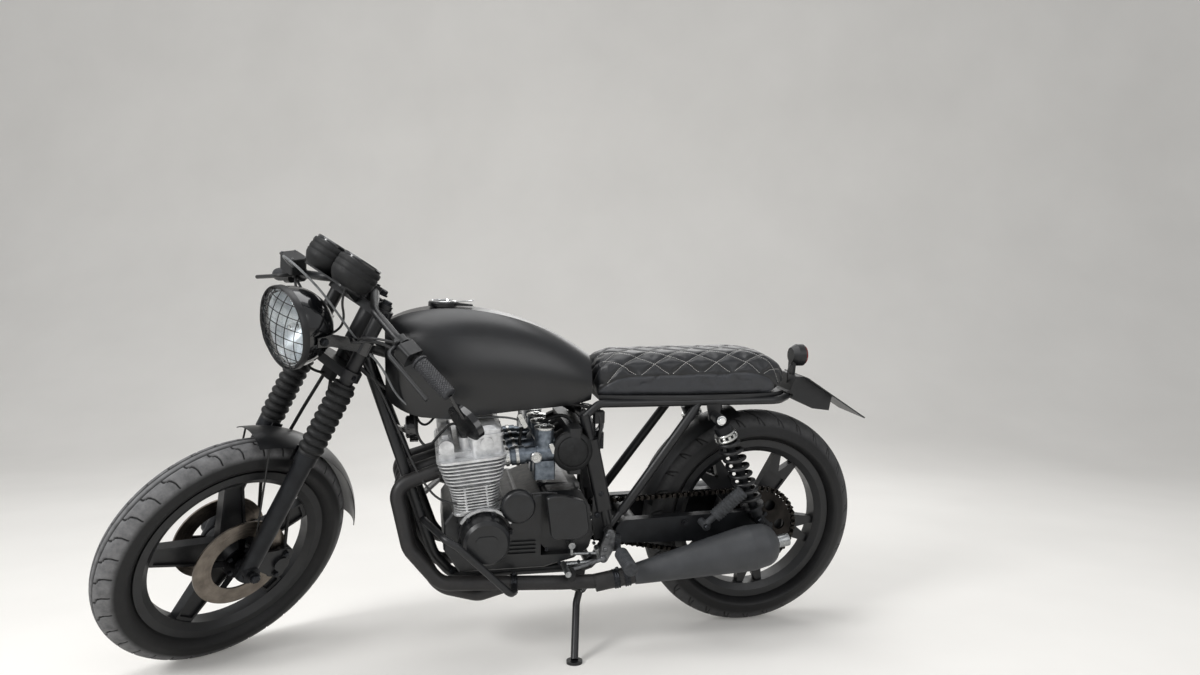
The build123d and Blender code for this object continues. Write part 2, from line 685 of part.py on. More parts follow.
HEAD_LOW = LOWER_YOKE + YOKE_THICKNESS + 1
HEAD_TUBE = UPPER_YOKE - HEAD_LOW - 1
HEAD_RADIUS = 29
RAIL_LEVEL = 698
CRADLE_LEVEL = 245
UPRIGHT_TOP = (528, 98, 668)
SPINE_RADIUS = 19
STAND_LUG = (535, 135, 196)
LUG_RADIUS = 15
PIVOT_BOLT = 7
head_low = fork_level(HEAD_LOW, 0, -FORK_OFFSET)
cradle = [
    tuple(fork_level(HEAD_LOW + 67, 14, -FORK_OFFSET - 8).origin), (1078, 36, 774),
    (1006, 76, 556), (926, CRADLE_HALF, 305),
    (878, CRADLE_HALF, CRADLE_LEVEL), (504, CRADLE_HALF, CRADLE_LEVEL), (452, CRADLE_HALF, 330),
    UPRIGHT_TOP,
]
frame_tubes = both_sides(cradle, FRAME_TUBE, (40, 40, 90, 50, 45, 45))
spine_start = fork_level(HEAD_LOW + 52, 0, -FORK_OFFSET).origin
frame_tubes.append(
    tube([tuple(spine_start), (880, 0, 776), (566, 0, 690), (530, 0, 668)], SPINE_RADIUS, 60)
)
GUARD_BAR_HALF = COVER_HALF + CRANK_COVER_DEPTH + 19
GUARD_BAR = [
    (956, 96, 400), (902, GUARD_BAR_HALF - 14, 398), (872, GUARD_BAR_HALF, 382),
    (740, GUARD_BAR_HALF, 248), (726, GUARD_BAR_HALF - 34, 238), (724, 178 + PIPE_RADIUS + 0.4, 238),
]
frame_tubes += both_sides(GUARD_BAR, GUARD_BAR_TUBE, (30, 12, 24, 12))
cross_level = UPRIGHT_TOP[2] - 2
frame_tubes.append(barrel(UPRIGHT_TOP[0], cross_level, FRAME_TUBE, -UPRIGHT_TOP[1], UPRIGHT_TOP[1]))
frame_tubes.append(barrel(504, CRADLE_LEVEL + 2, FRAME_TUBE - 2, -CRADLE_HALF, CRADLE_HALF))
TANK_PAD = (952, 806)
UPRIGHT_WIDTH = 44
UPRIGHT_LENGTH = 200
UPRIGHT_START = 0.22


def upright_plane(outward):
    """A plane square to the frame's upright, where its flat pressed part begins."""
    foot = Vector(cradle[-2][0], outward * cradle[-2][1], cradle[-2][2])
    head = Vector(UPRIGHT_TOP[0], outward * UPRIGHT_TOP[1], UPRIGHT_TOP[2])
    start = foot + (head - foot) * UPRIGHT_START
    return Plane(origin=start, x_dir=(1, 0, -(head.X - foot.X) / (head.Z - foot.Z)), z_dir=head - foot)


with BuildPart() as main_frame:
    with BuildSketch(head_low):
        Circle(HEAD_RADIUS)
    extrude(amount=HEAD_TUBE)
    for bar in frame_tubes:
        add(bar)
    for outward in (1, -1):
        plate = [
            (PIVOT[0] - 14, PIVOT[1] - 26), (PIVOT[0] + 34, PIVOT[1] - 30), (PIVOT[0] + 43, 372),
            (PIVOT[0] + 43, 440), (PIVOT[0] + 34, 480), (PIVOT[0] + 10, 470), (PIVOT[0] - 14, 380),
        ]
        add(slab(plate, outward * (CRADLE_HALF + 3) - 3, outward * (CRADLE_HALF + 3) + 3))
        with BuildSketch(upright_plane(outward)):
            RectangleRounded(UPRIGHT_WIDTH, 30, 9)
        extrude(amount=UPRIGHT_LENGTH)
    with BuildSketch(head_low):
        Circle(STEM_RADIUS + RUNNING_GAP)
    extrude(amount=HEAD_TUBE, mode=Mode.SUBTRACT)
    with BuildSketch(head_low.offset(HEAD_TUBE / 2)):
        Circle(STEM_RADIUS + 6)
    extrude(amount=HEAD_TUBE / 2 - 14, both=True, mode=Mode.SUBTRACT)
    add(barrel(*PIVOT, PIVOT_BOLT, -128, 128))
    for low in (CRADLE_HALF, -126):
        add(barrel(*PIVOT, 13, low, low + 126 - CRADLE_HALF))
    add(barrel(*TANK_PAD, 17, -44, 44))
    lug = [(515, CRADLE_LEVEL), (557, CRADLE_LEVEL), (548, STAND_LUG[2] + 8), (522, STAND_LUG[2] + 8)]
    add(slab(lug, CRADLE_HALF - 7, CRADLE_HALF + 5))

# Side stand: its foot stands on the ground beside the leaning bike, and it folds up rearwards

FOOT = (570, 255, 0)
from_ground = upright_to_ground.inverse()
stand_pivot = Vector(*STAND_LUG)
foot_point = (from_ground * Location(FOOT)).position
ground_normal = (from_ground * Location((FOOT[0], FOOT[1], 1))).position - foot_point
down = foot_point - stand_pivot
STOWED = Vector(-1, -0.03, -0.06).normalized() * down.length
spread = down - STOWED
stand_axis = Vector(
    -spread.Y * spread.X / (spread.X ** 2 + spread.Z ** 2), 1,
    -spread.Y * spread.Z / (spread.X ** 2 + spread.Z ** 2),
).normalized()


def turn_between(start, end, axis):
    """The angle about axis that carries start over end, both seen along the axis."""
    a = start - axis * start.dot(axis)
    b = end - axis * end.dot(axis)
    return degrees(atan2(axis.dot(a.cross(b)), a.dot(b)))


stand_turn = turn_between(down, STOWED, stand_axis)
LEG_RADIUS = 10
PAD_RADIUS = 21
leg_square = (down - stand_axis * down.dot(stand_axis)).normalized()
leg_run = [stand_pivot, stand_pivot + leg_square * 44, foot_point + ground_normal * 9]
stand_leg = tube([tuple(point) for point in leg_run], LEG_RADIUS, 40)
with BuildPart() as side_stand:
    add(stand_leg)
    with BuildSketch(Plane(origin=stand_pivot - stand_axis * 9, z_dir=stand_axis)):
        Circle(LUG_RADIUS + 1)
    extrude(amount=18)
    with BuildSketch(Plane(origin=foot_point, z_dir=ground_normal)):
        Circle(PAD_RADIUS)
    extrude(amount=8)
    with BuildSketch(Plane(origin=stand_pivot - stand_axis * 30, z_dir=stand_axis)):
        Circle(6 + RUNNING_GAP)
    extrude(amount=60, mode=Mode.SUBTRACT)
keep("side_stand", side_stand.part)

with BuildPart() as frame_lug:
    for start, length, radius in ((-34, 22.5, LUG_RADIUS), (-17, 31, 6), (11, 5, 10)):
        with BuildSketch(Plane(origin=stand_pivot + stand_axis * start, z_dir=stand_axis)):
            Circle(radius)
        extrude(amount=length)
with BuildPart() as frame:
    add(main_frame.part)
    add(frame_lug.part)
keep("frame", frame.part)

# Rear frame: one looped rail under the seat, its struts and the shock studs

STRUT_FOOT = (424, 112, 392)
STRUT_TOP = (206, RAIL_HALF + 3, RAIL_LEVEL - 4)
rail = [
    (UPRIGHT_TOP[0], UPRIGHT_TOP[1] - 1, UPRIGHT_TOP[2] - 6), (488, RAIL_HALF, RAIL_LEVEL - 1),
    (-30, RAIL_HALF, RAIL_LEVEL), (-84, 40, RAIL_LEVEL), (-84.5, -40, RAIL_LEVEL),
    (-30, -RAIL_HALF, RAIL_LEVEL), (488, -RAIL_HALF, RAIL_LEVEL - 1),
    (UPRIGHT_TOP[0], -UPRIGHT_TOP[1] + 1, UPRIGHT_TOP[2] - 6),
]
strut = [(STRUT_FOOT[0] + 24, STRUT_FOOT[1] - 1, STRUT_FOOT[2] - 33), STRUT_FOOT, STRUT_TOP]
rear_tubes = [tube(rail, RAIL_TUBE, (30, 50, 40, 40, 50, 30))]
rear_tubes += both_sides([strut[0], strut[2]], 9, 0)
EYE_RADIUS = 16
EYE_HALF = 13
STUD_RADIUS = 6
stud_end = SHOCK_HALF + EYE_HALF + 4
GUARD_STRAP = (118, 668)
with BuildPart() as rear_frame:
    for bar in rear_tubes:
        add(bar)
    for outward in (1, -1):
        x, z = SHOCK_TOP
        ear = [(x - 20, RAIL_LEVEL), (x + 24, RAIL_LEVEL), (x + 14, z - 12), (x - 14, z - 12)]
        add(slab(ear, outward * (RAIL_HALF + 6) - 3, outward * (RAIL_HALF + 6) + 3))
        low, high = sorted((outward * (RAIL_HALF + 4), outward * stud_end))
        add(barrel(x, z, STUD_RADIUS, low, high))
        low, high = sorted((outward * (RAIL_HALF + 4), outward * (SHOCK_HALF - EYE_HALF - SEAT_GAP)))
        add(barrel(x, z, STUD_RADIUS + 7, low, high))
    strap = [(GUARD_STRAP[0] - 18, RAIL_LEVEL - 3), (GUARD_STRAP[0] + 18, RAIL_LEVEL - 3),
             (GUARD_STRAP[0] + 18, RAIL_LEVEL + 3), (GUARD_STRAP[0] - 18, RAIL_LEVEL + 3)]
    add(slab(strap, -RAIL_HALF, RAIL_HALF))
    add(frame.part, mode=Mode.SUBTRACT)
keep("rear_frame", rear_frame.part)

# Swing arm with the rear axle, the fixed brake plate and the shock studs

BRACE = (385, 351)
# what stands out of the arm's outer side: x, z, radius, depth
ARM_FITTINGS = (
    (0, REAR_TYRE_RADIUS, 17, 9), (238, 358, 10, 5), (238, 358, 6, 10),
)
with BuildPart() as swing_arm:
    for outward in (1, -1):
        inner = outward * ARM_INNER
        outer = outward * (ARM_INNER + ARM_THICKNESS)
        with BuildSketch(side(max(inner, outer))):
            with Locations((404, 342)):
                Circle(33)
            with Locations((rear_axle.X, rear_axle.Z)):
                Circle(28)
            with Locations(SHOCK_EYE):
                Circle(15)
            make_hull()
        extrude(amount=ARM_THICKNESS)
        low, high = sorted((outer, outward * stud_end))
        add(barrel(*SHOCK_EYE, STUD_RADIUS, low, high))
    add(barrel(*PIVOT, 20, -92, 92))
    add(barrel(*BRACE, 22, -ARM_INNER, ARM_INNER))
    for outward in (1, -1):
        with BuildSketch(Plane.XY.offset(PIVOT[1] - 16)):
            web = [(462, 62), (462, 91), (428, 91), (428, 112), (385, 112), (385, 62)]
            Polygon(*[(x, outward * y) for x, y in web], align=None)
        extrude(amount=32)
    add(barrel(0, REAR_TYRE_RADIUS, REAR_AXLE_RADIUS, -134, 134))
    add(barrel(0, REAR_TYRE_RADIUS, 15, REAR_HUB_HALF + 1, ARM_INNER + 1))
    add(barrel(0, REAR_TYRE_RADIUS, 15, -ARM_INNER - 1, -REAR_HUB_HALF - 1))
    add(barrel(0, REAR_TYRE_RADIUS, 76, -REAR_HUB_HALF - 9, -REAR_HUB_HALF - 2))
    for outward in (1, -1):
        face = outward * (ARM_INNER + ARM_THICKNESS)
        for x, z, radius, depth in ARM_FITTINGS:
            low, high = sorted((face, face + outward * depth))
            add(barrel(x, z, radius, low, high))
    add(barrel(*PIVOT, PIVOT_BOLT + 0.1, -150, 150), mode=Mode.SUBTRACT)
keep("swing_arm", swing_arm.part)

# Rear shocks: eyes on the studs, a damper, two spring seats and an open coil spring

shock_top = Vector(SHOCK_TOP[0], 0, SHOCK_TOP[1])
shock_low = Vector(SHOCK_EYE[0], 0, SHOCK_EYE[1])
shock_axis = (shock_top - shock_low).normalized()
shock_length = (shock_top - shock_low).length
SPRING_LOW = 46
SPRING_HIGH = shock_length - 62
SPRING_RADIUS = 29
SPRING_WIRE = 9
COLLAR_RADIUS = 31
SPRING_TURNS = 9


def shock_plane(at, outward):
    """A plane square to the shock, at millimetres above its lower eye."""
    middle = shock_low + shock_axis * at + Vector(0, outward * SHOCK_HALF, 0)
    return Plane(origin=middle, x_dir=(0, 1, 0), z_dir=shock_axis)


with BuildPart() as rear_shocks:
    for outward in (1, -1):
        for x, z in (SHOCK_TOP, SHOCK_EYE):
            add(barrel(x, z, EYE_RADIUS, outward * SHOCK_HALF - EYE_HALF, outward * SHOCK_HALF + EYE_HALF))
        for low, high, radius in (
            (8, shock_length - 8, 12.5), (SPRING_LOW - 8, SPRING_LOW, COLLAR_RADIUS),
            (SPRING_HIGH, SPRING_HIGH + 5, COLLAR_RADIUS),
            (SPRING_HIGH + 5, SPRING_HIGH + 16, COLLAR_RADIUS - 4),
            (SPRING_HIGH + 16, shock_length - 19, 24), (14, SPRING_LOW - 8, 19),
        ):
            with BuildSketch(shock_plane(low, outward)):
                Circle(radius)
            extrude(amount=high - low)
        with BuildSketch(shock_plane(SPRING_HIGH + 5, outward)):
            with PolarLocations(COLLAR_RADIUS - 3, 10):
                Circle(4)
        extrude(amount=11)
        for x, z in (SHOCK_TOP, SHOCK_EYE):
            add(
                barrel(x, z, STUD_RADIUS + SEAT_GAP, outward * SHOCK_HALF - 20, outward * SHOCK_HALF + 20),
                mode=Mode.SUBTRACT,
            )
keep("rear_shocks", rear_shocks.part)

spring_lead = (SPRING_HIGH - SPRING_LOW - SPRING_WIRE - 2 * SEAT_GAP) / SPRING_TURNS
with BuildPart() as shock_springs:
    for outward in (1, -1):
        foot = shock_plane(SPRING_LOW + SPRING_WIRE / 2 + SEAT_GAP, outward)
        with BuildLine() as coil:
            Helix(
                spring_lead, spring_lead * SPRING_TURNS, SPRING_RADIUS - SPRING_WIRE / 2,
                center=foot.origin, direction=foot.z_dir,
            )
        with BuildSketch(Plane(origin=coil.line @ 0, z_dir=coil.line % 0)):
            RegularPolygon(SPRING_WIRE / 2, 6)
        sweep(path=coil.line, is_frenet=True)
keep("shock_springs", shock_springs.part)

# Final drive: the chain is one fixed loop round the two sprockets

with BuildPart() as drive_chain:
    chain_outer = 9
    big = (rear_axle.X, rear_axle.Z, SPROCKET_RADIUS + 1)
    small = (OUTPUT[0], OUTPUT[1], OUTPUT_RADIUS + 1)
    with BuildSketch(side(CHAIN_LINE)):
        for x, z, radius in (big, small):
            with Locations((x, z)):
                Circle(radius + chain_outer)
        make_hull()
    extrude(amount=11, both=True)
    with BuildSketch(side(CHAIN_LINE)):
        for x, z, radius in (big, small):
            with Locations((x, z)):
                Circle(radius)
        make_hull()
    extrude(amount=12, both=True, mode=Mode.SUBTRACT)
keep("drive_chain", drive_chain.part)

with BuildPart() as guard_foot:
    strap_foot = [(104, 620), (132, 620), (132, RAIL_LEVEL - 3.3), (104, RAIL_LEVEL - 3.3)]
    add(slab(strap_foot, -14, 14))
    add(barrel(rear_axle.X, rear_axle.Z, 344, -20, 20), mode=Mode.SUBTRACT)
with BuildPart() as rear_mudguard:
    add(guard(rear_axle, 343, 66, 16, 12, 66))
    add(guard_foot.part)
keep("rear_mudguard", rear_mudguard.part)

# Engine: crankcase, finned block and head, cam cover and outer covers

tip = radians(CYLINDER_LEAN)
cylinder_up = Vector(sin(tip), 0, cos(tip))
cylinder_x = (cos(tip), 0, -sin(tip))
cylinder_back = Vector(*cylinder_x) * -1


def cylinder_plane(height):
    """A plane square to the cylinders, height above the crankcase's deck."""
    middle = Vector(DECK[0], 0, DECK[1]) + cylinder_up * height
    return Plane(origin=middle, x_dir=cylinder_x, z_dir=cylinder_up)


bores = [(0, CYLINDER_PITCH * i) for i in (-1.5, -0.5, 0.5, 1.5)]
CASE_OUTLINE = [
    (862, 264), (902, 330), (900, 398), (878, 430), (752, 443), (700, 452), (640, 474),
    (560, 470), (516, 446), (506, 392), (512, 330), (556, 286), (640, 264),
]
CASE_CHAMFER = 5
RIBS = 4
with BuildPart() as crankcase:
    with BuildSketch(side(CASE_HALF)):
        Polygon(*CASE_OUTLINE, align=None)
        fillet(vertices(), 8)
    extrude(amount=2 * CASE_HALF)
    case_sides = crankcase.faces().sort_by(Axis.Y)
    chamfer(case_sides[-1].edges() + case_sides[0].edges(), CASE_CHAMFER)
    add(barrel(*CRANK, 68, -COVER_HALF, COVER_HALF))
    add(barrel(706, 424, 27, -CASE_HALF - 6, CASE_HALF + 6))
    with BuildSketch(cylinder_plane(-30)):
        RectangleRounded(112, 2 * BLOCK_HALF - 26, 16)
    extrude(amount=30)
    with BuildSketch(cylinder_plane(0)):
        Rectangle(150, 2 * COVER_HALF + 20)
    extrude(amount=40, mode=Mode.SUBTRACT)
    add(slab([(490, 300), (648, 300), (648, 500), (490, 500)], 62, CASE_HALF + 12), mode=Mode.SUBTRACT)
    for level in range(RIBS):
        low = 306 + level * 11
        rib = [(742, low), (662, low), (662, low + 4), (742, low + 4)]
        add(slab(rib, CASE_HALF - 1, CASE_HALF + 7))
    add(barrel(*OUTPUT, 12, 60, CHAIN_LINE + 8))
    add(barrel(*OUTPUT, OUTPUT_RADIUS, CHAIN_LINE - 4, CHAIN_LINE + 4))
keep("crankcase", crankcase.part)

SPROCKET_COVER = [
    (644, 470), (650, 330), (612, 284), (550, 284), (514, 304), (504, 340), (512, 420), (540, 470),
]
cover_parts = []
# each round cover: x, z, its side, where it starts, depth, radius, radius of its face
for x, z, outward, start, depth, radius, face in (
    (CRANK[0], CRANK[1], 1, COVER_HALF, CRANK_COVER_DEPTH, 63, 51),
    (CRANK[0], CRANK[1], -1, COVER_HALF, 40, 56, 44),
    (640, 356, -1, CASE_HALF, 52, 84, 72),
):
    base = Plane(origin=(x, outward * start, z), x_dir=(1, 0, 0), z_dir=(0, outward, 0))
    with BuildPart() as cover:
        with BuildSketch(base):
            Circle(radius)
        with BuildSketch(base.offset(depth - 9)):
            Circle(radius - 4)
        loft()
        with BuildSketch(base.offset(depth - 9)):
            Circle(radius - 4)
        with BuildSketch(base.offset(depth)):
            Circle(face)
        loft()
        with BuildSketch(base.offset(depth)):
            RegularPolygon(face - 8, 3, rotation=90)
            fillet(vertices(), 14)
        extrude(amount=2.5)
        with BuildSketch(base):
            with PolarLocations(radius + 2, 6, start_angle=12):
                Circle(7)
        extrude(amount=15)
    cover_parts.append(cover.part)
with BuildPart() as sprocket_cover:
    with BuildSketch(side(128)):
        Polygon(*SPROCKET_COVER, align=None)
        fillet(vertices(), 18)
    extrude(amount=65)
    with BuildSketch(side(124)):
        Polygon(*SPROCKET_COVER, align=None)
        fillet(vertices(), 18)
        offset(amount=-5)
    extrude(amount=65, mode=Mode.SUBTRACT)
    add(slab([(480, 280), (530, 280), (530, 436), (480, 436)], 60, 104), mode=Mode.SUBTRACT)
with BuildPart() as engine_covers:
    for part in cover_parts:
        add(part)
    add(sprocket_cover.part)
    add(crankcase.part, mode=Mode.SUBTRACT)
keep("engine_covers", engine_covers.part)

FIRST_FIN = 5
with BuildPart() as cylinder_block:
    with BuildSketch(cylinder_plane(0)):
        RectangleRounded(94, 2 * BLOCK_HALF - 34, 18)
    extrude(amount=BLOCK_HEIGHT)
    for i in range(BLOCK_FINS):
        rise = FIRST_FIN + i * BLOCK_FIN_PITCH
        with BuildSketch(cylinder_plane(rise)):
            RectangleRounded(112 + rise * 0.3, 2 * BLOCK_HALF, FIN_CORNER)
        extrude(amount=FIN)
    with BuildSketch(cylinder_plane(0)):
        RectangleRounded(118, 2 * BLOCK_HALF - 8, FIN_CORNER)
    extrude(amount=FIN)
    with BuildSketch(cylinder_plane(FIRST_FIN)):
        with GridLocations(54, 2 * BLOCK_HALF - 14, 2, 2):
            Circle(4)
    extrude(amount=BLOCK_FINS * BLOCK_FIN_PITCH - FIN)
keep("cylinder_block", cylinder_block.part)

PORT_HEIGHT = 30
EXHAUST_PORT = 78
INTAKE_PORT = 98
INTAKE_RISE = 12
TRAY = (178, 6)
with BuildPart() as cylinder_head:
    with BuildSketch(cylinder_plane(BLOCK_HEIGHT)):
        RectangleRounded(116, 2 * HEAD_HALF - 34, 18)
    extrude(amount=HEAD_HEIGHT)
    for i in range(HEAD_FINS):
        rise = FIRST_FIN + i * HEAD_FIN_PITCH
        with BuildSketch(cylinder_plane(BLOCK_HEIGHT + rise)):
            RectangleRounded(142 + rise * 0.6, 2 * HEAD_HALF, FIN_CORNER)
        extrude(amount=FIN)
    with BuildSketch(cylinder_plane(BLOCK_HEIGHT + HEAD_HEIGHT - TRAY[1])):
        RectangleRounded(TRAY[0], 2 * HEAD_HALF - 4, FIN_CORNER)
    extrude(amount=TRAY[1])
    port = cylinder_plane(BLOCK_HEIGHT + PORT_HEIGHT)
    for cut in (True, False):
        for _, y in bores:
            start = port.origin + Vector(0, y, 0)
            front = Plane(origin=start, x_dir=(0, 1, 0), z_dir=cylinder_x)
            if cut:
                with BuildSketch(front.offset(EXHAUST_PORT - 12)):
                    Circle(30)
                extrude(amount=40, mode=Mode.SUBTRACT)
                continue
            with BuildSketch(front):
                Circle(27)
            extrude(amount=EXHAUST_PORT)
            intake_start = start + cylinder_up * INTAKE_RISE
            with BuildSketch(Plane(origin=intake_start, x_dir=(0, 1, 0), z_dir=cylinder_back)):
                Circle(23)
            extrude(amount=INTAKE_PORT)
keep("cylinder_head", cylinder_head.part)

COVER_HEIGHT = 74
COVER_HALF_WIDTH = HEAD_HALF - 34
cover_low = BLOCK_HEIGHT + HEAD_HEIGHT
ROCKER_BOX = (-42, 82)
ROCKER_BAR = (60, 19)
PLUG_WELL = (10, 17)
with BuildPart() as cam_cover:
    with BuildSketch(cylinder_plane(cover_low)):
        with Locations((ROCKER_BOX[0], 0)):
            RectangleRounded(ROCKER_BOX[1], 2 * COVER_HALF_WIDTH, 14)
    extrude(amount=COVER_HEIGHT - 10)
    with BuildSketch(cylinder_plane(cover_low + COVER_HEIGHT - 28)):
        with Locations((ROCKER_BOX[0], 0)):
            RectangleRounded(ROCKER_BOX[1] + 10, 2 * COVER_HALF_WIDTH + 10, 18)
    extrude(amount=8)
    with BuildSketch(cylinder_plane(cover_low + COVER_HEIGHT - 10)):
        with Locations((ROCKER_BOX[0], 0)):
            RectangleRounded(ROCKER_BOX[1], 2 * COVER_HALF_WIDTH, 14)
    with BuildSketch(cylinder_plane(cover_low + COVER_HEIGHT)):
        with Locations((ROCKER_BOX[0], 0)):
            RectangleRounded(ROCKER_BOX[1] - 24, 2 * COVER_HALF_WIDTH - 24, 14)
    loft()
    with BuildSketch(cylinder_plane(cover_low)):
        with Locations((ROCKER_BAR[0], 0)):
            Rectangle(2 * ROCKER_BAR[1] - 2, 2 * COVER_HALF_WIDTH)
    extrude(amount=32)
    bar_middle = cylinder_plane(cover_low + 32).origin + Vector(*cylinder_x) * ROCKER_BAR[0]
    add(barrel(bar_middle.X, bar_middle.Z, ROCKER_BAR[1], -COVER_HALF_WIDTH - 5, COVER_HALF_WIDTH + 5))
    with BuildSketch(cylinder_plane(cover_low)):
        Rectangle(100, 2 * COVER_HALF_WIDTH - 20)
    extrude(amount=14)
    for _, y in bores:
        with BuildSketch(cylinder_plane(cover_low)):
            with Locations((PLUG_WELL[0], y)):
                Circle(PLUG_WELL[1])
        extrude(amount=44)
        for x, across, level, height in ((ROCKER_BAR[0], 0, 40, 17), (78, 24, 0, 12), (78, -24, 0, 12)):
            with BuildSketch(cylinder_plane(cover_low + level)):
                with Locations((x, y + across)):
                    RegularPolygon(15 if level else 7, 6)
            extrude(amount=height)
    cap_at = cylinder_plane(cover_low + 30).origin + Vector(*cylinder_x) * ROCKER_BOX[0]
    add(barrel(cap_at.X, cap_at.Z, 17, -COVER_HALF_WIDTH - 6, COVER_HALF_WIDTH + 6))
keep("cam_cover", cam_cover.part)

# Intake: four carburettors on rubber stubs and the air box behind them

CARB_START = port.origin + cylinder_up * INTAKE_RISE + cylinder_back * (INTAKE_PORT + SEAT_GAP)
CARB_LENGTH = 138
CARB_BODY = 92
CARB_BOWL = (70, 50)
CARB_DOME = 62
CARB_RACK = 40
with BuildPart() as carburettors:
    for _, y in bores:
        start = CARB_START + Vector(0, y, 0)
        for along, radius, length in ((0, 21, CARB_LENGTH), (4, 25, 36), (CARB_BODY - 21, 27, 50)):
            at = start + cylinder_back * along
            with BuildSketch(Plane(origin=at, x_dir=(0, 1, 0), z_dir=cylinder_back)):
                Circle(radius)
            extrude(amount=length)
        middle = start + cylinder_back * CARB_BODY
        with BuildSketch(Plane.XY.offset(middle.Z - CARB_BOWL[0])):
            with Locations((middle.X, middle.Y)):
                RectangleRounded(56, 46, 8)
        extrude(amount=CARB_BOWL[1])
        with BuildSketch(Plane.XY.offset(middle.Z)):
            with Locations((middle.X, middle.Y)):
                Circle(25)
        extrude(amount=CARB_DOME)
    with BuildSketch(Plane.XY.offset(middle.Z - 18)):
        with Locations((middle.X, 0)):
            Rectangle(12, bores[3][1] - bores[0][1])
    extrude(amount=CARB_RACK)
keep("carburettors", carburettors.part)

AIR_START = CARB_START + cylinder_back * (CARB_LENGTH + SEAT_GAP)
with BuildPart() as air_box:
    for _, y in bores:
        at = AIR_START + Vector(0, y, 0)
        with BuildSketch(Plane(origin=at, x_dir=(0, 1, 0), z_dir=cylinder_back)):
            Circle(25)
        extrude(amount=30)
    with BuildSketch(Plane.XY.offset(AIR_START.Z - 62)):
        with Locations((AIR_START.X - 34, 0)):
            RectangleRounded(36, 286, 10)
        with Locations((AIR_START.X - 72, 0)):
            RectangleRounded(60, 156, 10)
    extrude(amount=124)
keep("air_box", air_box.part)

# Exhaust: four headers that pair up low on each side, and a megaphone muffler a side

port_face = port.origin + Vector(*cylinder_x) * (EXHAUST_PORT + SEAT_GAP)
MUFFLER_FRONT = (400, 188, 246)
MUFFLER_BACK = (0, 207, 322)
FLANGE_RADIUS = 30
CLAMP_SHARE = 0.575
CLAMP_WIDTH = 18


def headers(outward):
    """The two header pipes of one side, the inner one joining the outer under the engine."""
    pipe_start = port_face + Vector(*cylinder_x) * 6
    outer = [
        tuple(pipe_start + Vector(0, bores[3][1], 0)), (1022, 124, 497), (988, 152, 340),
        (910, 168, 246), (600, 178, 232), (480, 184, 231),
    ]
    inner = [
        tuple(pipe_start + Vector(0, bores[2][1], 0)), (1012, 40, 500), (985, 58, 330),
        (912, 84, 202), (812, 150, 202), (730, 172, 236),
    ]
    pair = []
    for run in (outer, inner):
        placed = [(x, outward * y, z) for x, y, z in run]
        pair.append(tube(placed, PIPE_RADIUS, (42, 60, 60, 60)))
    return pair


muffler_axis = (Vector(*MUFFLER_BACK) - Vector(*MUFFLER_FRONT)).normalized()
MUFFLER_RUN = (Vector(*MUFFLER_BACK) - Vector(*MUFFLER_FRONT)).length
muffler_front = Vector(*MUFFLER_FRONT)
header_end = Vector(480, 184, 231)
header_parts = {outward: headers(outward) for outward in (1, -1)}
with BuildPart() as exhaust_headers:
    for outward in (1, -1):
        for pipe in header_parts[outward]:
            add(pipe)
        for _, y in bores[:2]:
            flange_at = port_face + Vector(0, outward * y, 0)
            flange = Plane(origin=flange_at, x_dir=(0, 1, 0), z_dir=cylinder_x)
            with BuildSketch(flange):
                Circle(FLANGE_RADIUS)
            extrude(amount=8)
            with BuildSketch(flange):
                with PolarLocations(FLANGE_RADIUS - 6, 2):
                    RegularPolygon(6, 6)
            extrude(amount=15)
        clamp_run = Vector(600 - 910, outward * (178 - 168), 232 - 246)
        clamp_at = Vector(910, outward * 168, 246) + clamp_run * CLAMP_SHARE
        with BuildSketch(Plane(origin=clamp_at, z_dir=clamp_run)):
            Circle(PIPE_RADIUS + 4)
        extrude(amount=CLAMP_WIDTH)
        start = Vector(header_end.X, outward * header_end.Y, header_end.Z)
        finish = Vector(muffler_front.X, outward * muffler_front.Y, muffler_front.Z)
        run = (finish - start).normalized()
        with BuildSketch(Plane(origin=start - run * 26, z_dir=run)):
            Circle(PIPE_RADIUS + 5)
        extrude(amount=(finish - start).length + 26 - SEAT_GAP)
keep("exhaust_headers", exhaust_headers.part)

MUFFLER_SHAPE = (
    (0, 27), (14, 29), (300, MUFFLER_RADIUS - 2), (330, MUFFLER_RADIUS), (372, MUFFLER_RADIUS - 4),
)
with BuildPart() as mufflers:
    for outward in (1, -1):
        start = Vector(muffler_front.X, outward * muffler_front.Y, muffler_front.Z)
        back = Vector(muffler_axis.X, outward * muffler_axis.Y, muffler_axis.Z)
        up = Plane(origin=start, x_dir=back, z_dir=back.cross(Vector(0, 0, 1)))
        with BuildSketch(up):
            with BuildLine():
                Polyline((0, 0), *MUFFLER_SHAPE)
                ThreePointArc(MUFFLER_SHAPE[4], (396, MUFFLER_RADIUS - 18), (MUFFLER_RUN, 22))
                Polyline(
                    (MUFFLER_RUN, 22), (MUFFLER_RUN, 17), (MUFFLER_RUN + 34, 17), (MUFFLER_RUN + 34, 14),
                    (MUFFLER_RUN - 60, 14), (MUFFLER_RUN - 60, 0), (0, 0),
                )
            make_face()
        revolve(axis=Axis(start, back))
keep("mufflers", mufflers.part)

# Fuel tank: a lofted steel shell over a tunnel for the spine, with the filler neck on top

# each section: x, then height and half width at the bottom, belly, shoulder and top
TANK_SECTIONS = (
    (1042, 716, 62, 790, 74, 868, 62, 906, 26),
    (960, 676, 112, 770, 134, 880, 112, 938, 48),
    (800, 678, 122, 770, 146, 880, 120, 940, 56),
    (640, 690, 108, 760, 128, 850, 104, 896, 46),
    (508, 706, 84, 740, 96, 790, 80, 822, 36),
)
TUNNEL_HALF = 45
TUNNEL = [(1080, 600), (1080, 878), (960, 848), (480, 722), (480, 600)]
NECK = (896, 32)
NECK_TOP = 947


